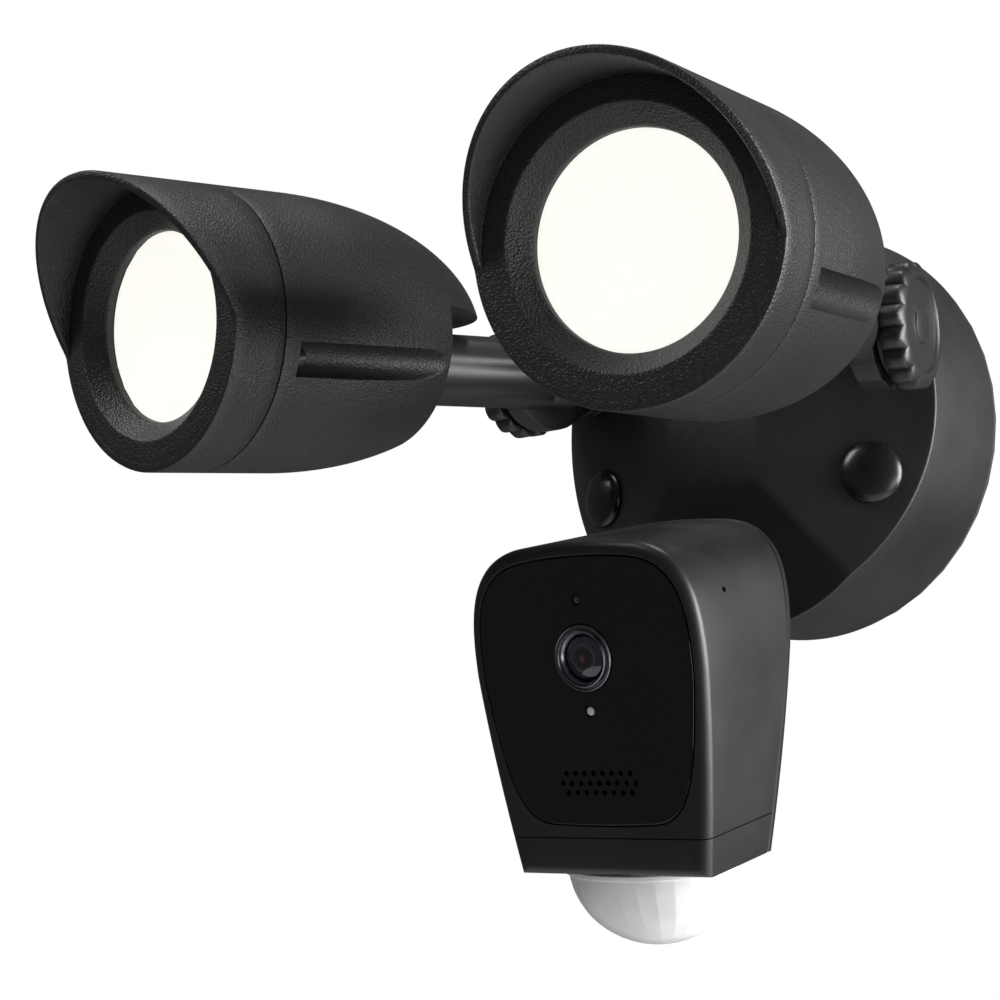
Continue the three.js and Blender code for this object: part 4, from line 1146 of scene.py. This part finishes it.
class FLOOD_OT_camera_head(bpy.types.Operator):
    """Builds the camera's housing, face panel, lens, windows, speaker holes and sensor dome"""

    bl_idname = "flood.camera_head"
    bl_label = "Camera head"

    def execute(self, context):
        cam = context.scene.flood_camera
        below, above = slab(cam, -90 * MM, cam.band + 0.15 * MM), slab(cam, cam.band - 0.15 * MM, 60 * MM)
        hollow = head_hollow(cam)
        carved("camera_front_shell", head_body_grid(cam), [[below], [hollow], shell_cutters(cam)])
        carved("lower_cover", head_body_grid(cam), [[above], [hollow], [dome_opening(cam)]])
        back = [back_plate_grid(cam), back_swell_grid(cam)] + knuckle_grids(cam)
        shaped("camera_back_cover", mesh_from("camera_back_cover_surface", back))
        carved("face_panel", panel_grid(cam), [panel_cutters(cam)])
        self.lens_group(cam)
        dome = mesh_from("sensor_dome_surface", [dome_grid(cam)], math.radians(6))
        milky = milky_dome("flood_milky_dome", context.scene.flood_finishes.dome)
        shaped("sensor_dome", dome, milky)
        repainted(["lens_barrel", "main_board", "sensor_board"])
        eased(["speaker", "motion_sensor"])
        return {"FINISHED"}

    def lens_group(self, cam):
        """The two-stepped ring, the glass bulging as a parabola, and the two small windows."""
        ring = [(6.1, 4), (6.1, 1.0), (6.35, 0.1), (6.75, -0.35), (6.95, -0.4), (7.05, -1.0), (7.2, -1.34),
                (7.42, -1.38), (7.6, -1.2), (7.66, -0.7), (7.8, -0.15), (8.2, -0.1), (8.34, -0.5),
                (8.5, -0.6), (8.72, -0.58), (8.86, -0.4), (8.9, 0), (8.9, 4)]
        shaped("lens_ring", mesh_from("lens_ring_surface", [(at_lens(cam, ring), True)]))
        r = np.linspace(0, 5.6, 16)
        bulge = np.stack([r, -0.6 + 1.3 * (r / 5.6) ** 2], -1)
        glass = np.vstack([bulge, [[5.8, 1.0], [5.8, 1.6], [0, 1.6]]])
        shaped("lens_glass", mesh_from("lens_glass_surface", [at_lens(cam, glass)]))
        for node, radius, z in (("light_sensor", 1.15, cam.sensor_z), ("status_light", 1.25, cam.light_z)):
            rod = [(0, 0.1), (0.5 * radius, 0.13), (0.85 * radius, 0.25), (radius, 0.6), (radius, 5), (0, 5)]
            shaped(node, mesh_from(node + "_surface", [at_lens(cam, rod, 32, z)]))


class FLOOD_OT_camera_mount(bpy.types.Operator):
    """Finishes the camera's bracket, pan yoke, hinge pin and hinge knob"""

    bl_idname = "flood.camera_mount"
    bl_label = "Camera mount"

    def execute(self, context):
        eased(["camera_bracket", "pan_yoke", "camera_hinge_knob"], 0.5 * MM)
        eased(["camera_hinge_pin", "pan_washer", "bracket_nut"])
        return {"FINISHED"}


FLOOR = -0.8
STUDIO_LIGHTS = (
    ((1.5, 0.25, 0.05), 1.1, 62),
    ((-0.9, -0.9, 1.0), 0.7, 12),
    ((0.15, -0.1, 1.3), 0.6, 9),
    ((1.1, -0.5, -0.45), 0.5, 3),
)


class FLOOD_OT_stage(bpy.types.Operator):
    """Sets up the pale floor, the soft studio light and the camera"""

    bl_idname = "flood.stage"
    bl_label = "Stage"

    def execute(self, context):
        self.floor()
        self.surroundings(context.scene)
        for place, size, watts in STUDIO_LIGHTS:
            self.soft_light(Vector(place), size, watts)
        self.camera(context.scene)
        context.scene.view_settings.view_transform = "Standard"
        return {"FINISHED"}

    def floor(self):
        """A disc, r (cos a, sin a), well below the object."""
        a = np.linspace(0, TAU, 64, endpoint=False)
        rings = [np.stack([r * np.cos(a), r * np.sin(a) - 0.2, np.full_like(a, FLOOR)], -1)
                 for r in (0, 0.3, 0.6, 0.85)]
        mesh = mesh_from("floor", [np.stack(rings)])
        disc = bpy.data.objects.new("floor", mesh)
        bpy.context.scene.collection.objects.link(disc)
        mesh.materials.append(moulded("flood_floor", (0.78, 0.78, 0.78), 0.8))

    def surroundings(self, scene):
        """A white backdrop that lights the object only as strongly as a grey room would."""
        world = bpy.data.worlds.new("studio")
        scene.world = world
        world.use_nodes = True
        tree = world.node_tree
        tree.nodes.clear()
        seen = tree.nodes.new("ShaderNodeLightPath")
        room, backdrop = tree.nodes.new("ShaderNodeBackground"), tree.nodes.new("ShaderNodeBackground")
        room.inputs["Color"].default_value = (0.5, 0.5, 0.51, 1)
        room.inputs["Strength"].default_value = 0.2
        backdrop.inputs["Color"].default_value = (1, 1, 1, 1)
        backdrop.inputs["Strength"].default_value = 1.0
        mix = tree.nodes.new("ShaderNodeMixShader")
        out = tree.nodes.new("ShaderNodeOutputWorld")
        tree.links.new(seen.outputs["Is Camera Ray"], mix.inputs[0])
        tree.links.new(room.outputs[0], mix.inputs[1])
        tree.links.new(backdrop.outputs[0], mix.inputs[2])
        tree.links.new(mix.outputs[0], out.inputs["Surface"])

    def soft_light(self, place, size, watts):
        """A square area light turned towards the middle of the object."""
        light = bpy.data.lights.new("soft light", "AREA")
        light.size, light.energy = size, watts
        holder = bpy.data.objects.new("soft light", light)
        aim = Vector((0, -0.1, 0)) - place
        holder.matrix_world = Matrix.Translation(place) @ aim.to_track_quat("-Z", "Y").to_matrix().to_4x4()
        bpy.context.scene.collection.objects.link(holder)

    def camera(self, scene):
        """Stands right of the front and below, looking slightly up."""
        lens = bpy.data.cameras.new("camera")
        lens.lens, lens.sensor_width = 79.2, 36.0
        lens.clip_start = 0.01
        eye = bpy.data.objects.new("camera", lens)
        yaw, pitch = math.radians(37.69), math.radians(7.58)
        ahead = Vector((-math.sin(yaw) * math.cos(pitch), math.cos(yaw) * math.cos(pitch), math.sin(pitch)))
        right = Vector((math.cos(yaw), math.sin(yaw), 0))
        up = right.cross(ahead)
        turn = Matrix((right, up, -ahead)).transposed().to_4x4()
        eye.matrix_world = Matrix.Translation((0.33468, -0.59054, -0.10853)) @ turn
        scene.collection.objects.link(eye)
        scene.camera = eye


OPERATORS = (FLOOD_OT_canopy, FLOOD_OT_arms, FLOOD_OT_lamps, FLOOD_OT_camera_head, FLOOD_OT_camera_mount,
             FLOOD_OT_stage)


class FLOOD_PT_panel(bpy.types.Panel):
    """Lists the steps in the order they are run, and the sizes they read"""

    bl_idname = "FLOOD_PT_panel"
    bl_label = "Floodlight"
    bl_space_type = "VIEW_3D"
    bl_region_type = "UI"
    bl_category = "Floodlight"

    def draw(self, context):
        for operator in OPERATORS:
            self.layout.operator(operator.bl_idname)
        for group in GROUPS:
            box = self.layout.box()
            for field in GROUPS[group].__annotations__:
                box.prop(getattr(context.scene, group), field)


CLASSES = tuple(GROUPS.values()) + OPERATORS + (FLOOD_PT_panel,)


def register():
    for item in CLASSES:
        bpy.utils.register_class(item)
    for name, group in GROUPS.items():
        setattr(bpy.types.Scene, name, PointerProperty(type=group))


def unregister():
    for name in GROUPS:
        delattr(bpy.types.Scene, name)
    for item in reversed(CLASSES):
        bpy.utils.unregister_class(item)


def main():
    register()
    for operator in OPERATORS:
        family, step = operator.bl_idname.split(".")
        getattr(getattr(bpy.ops, family), step)()


if __name__ == "__main__":
    main()
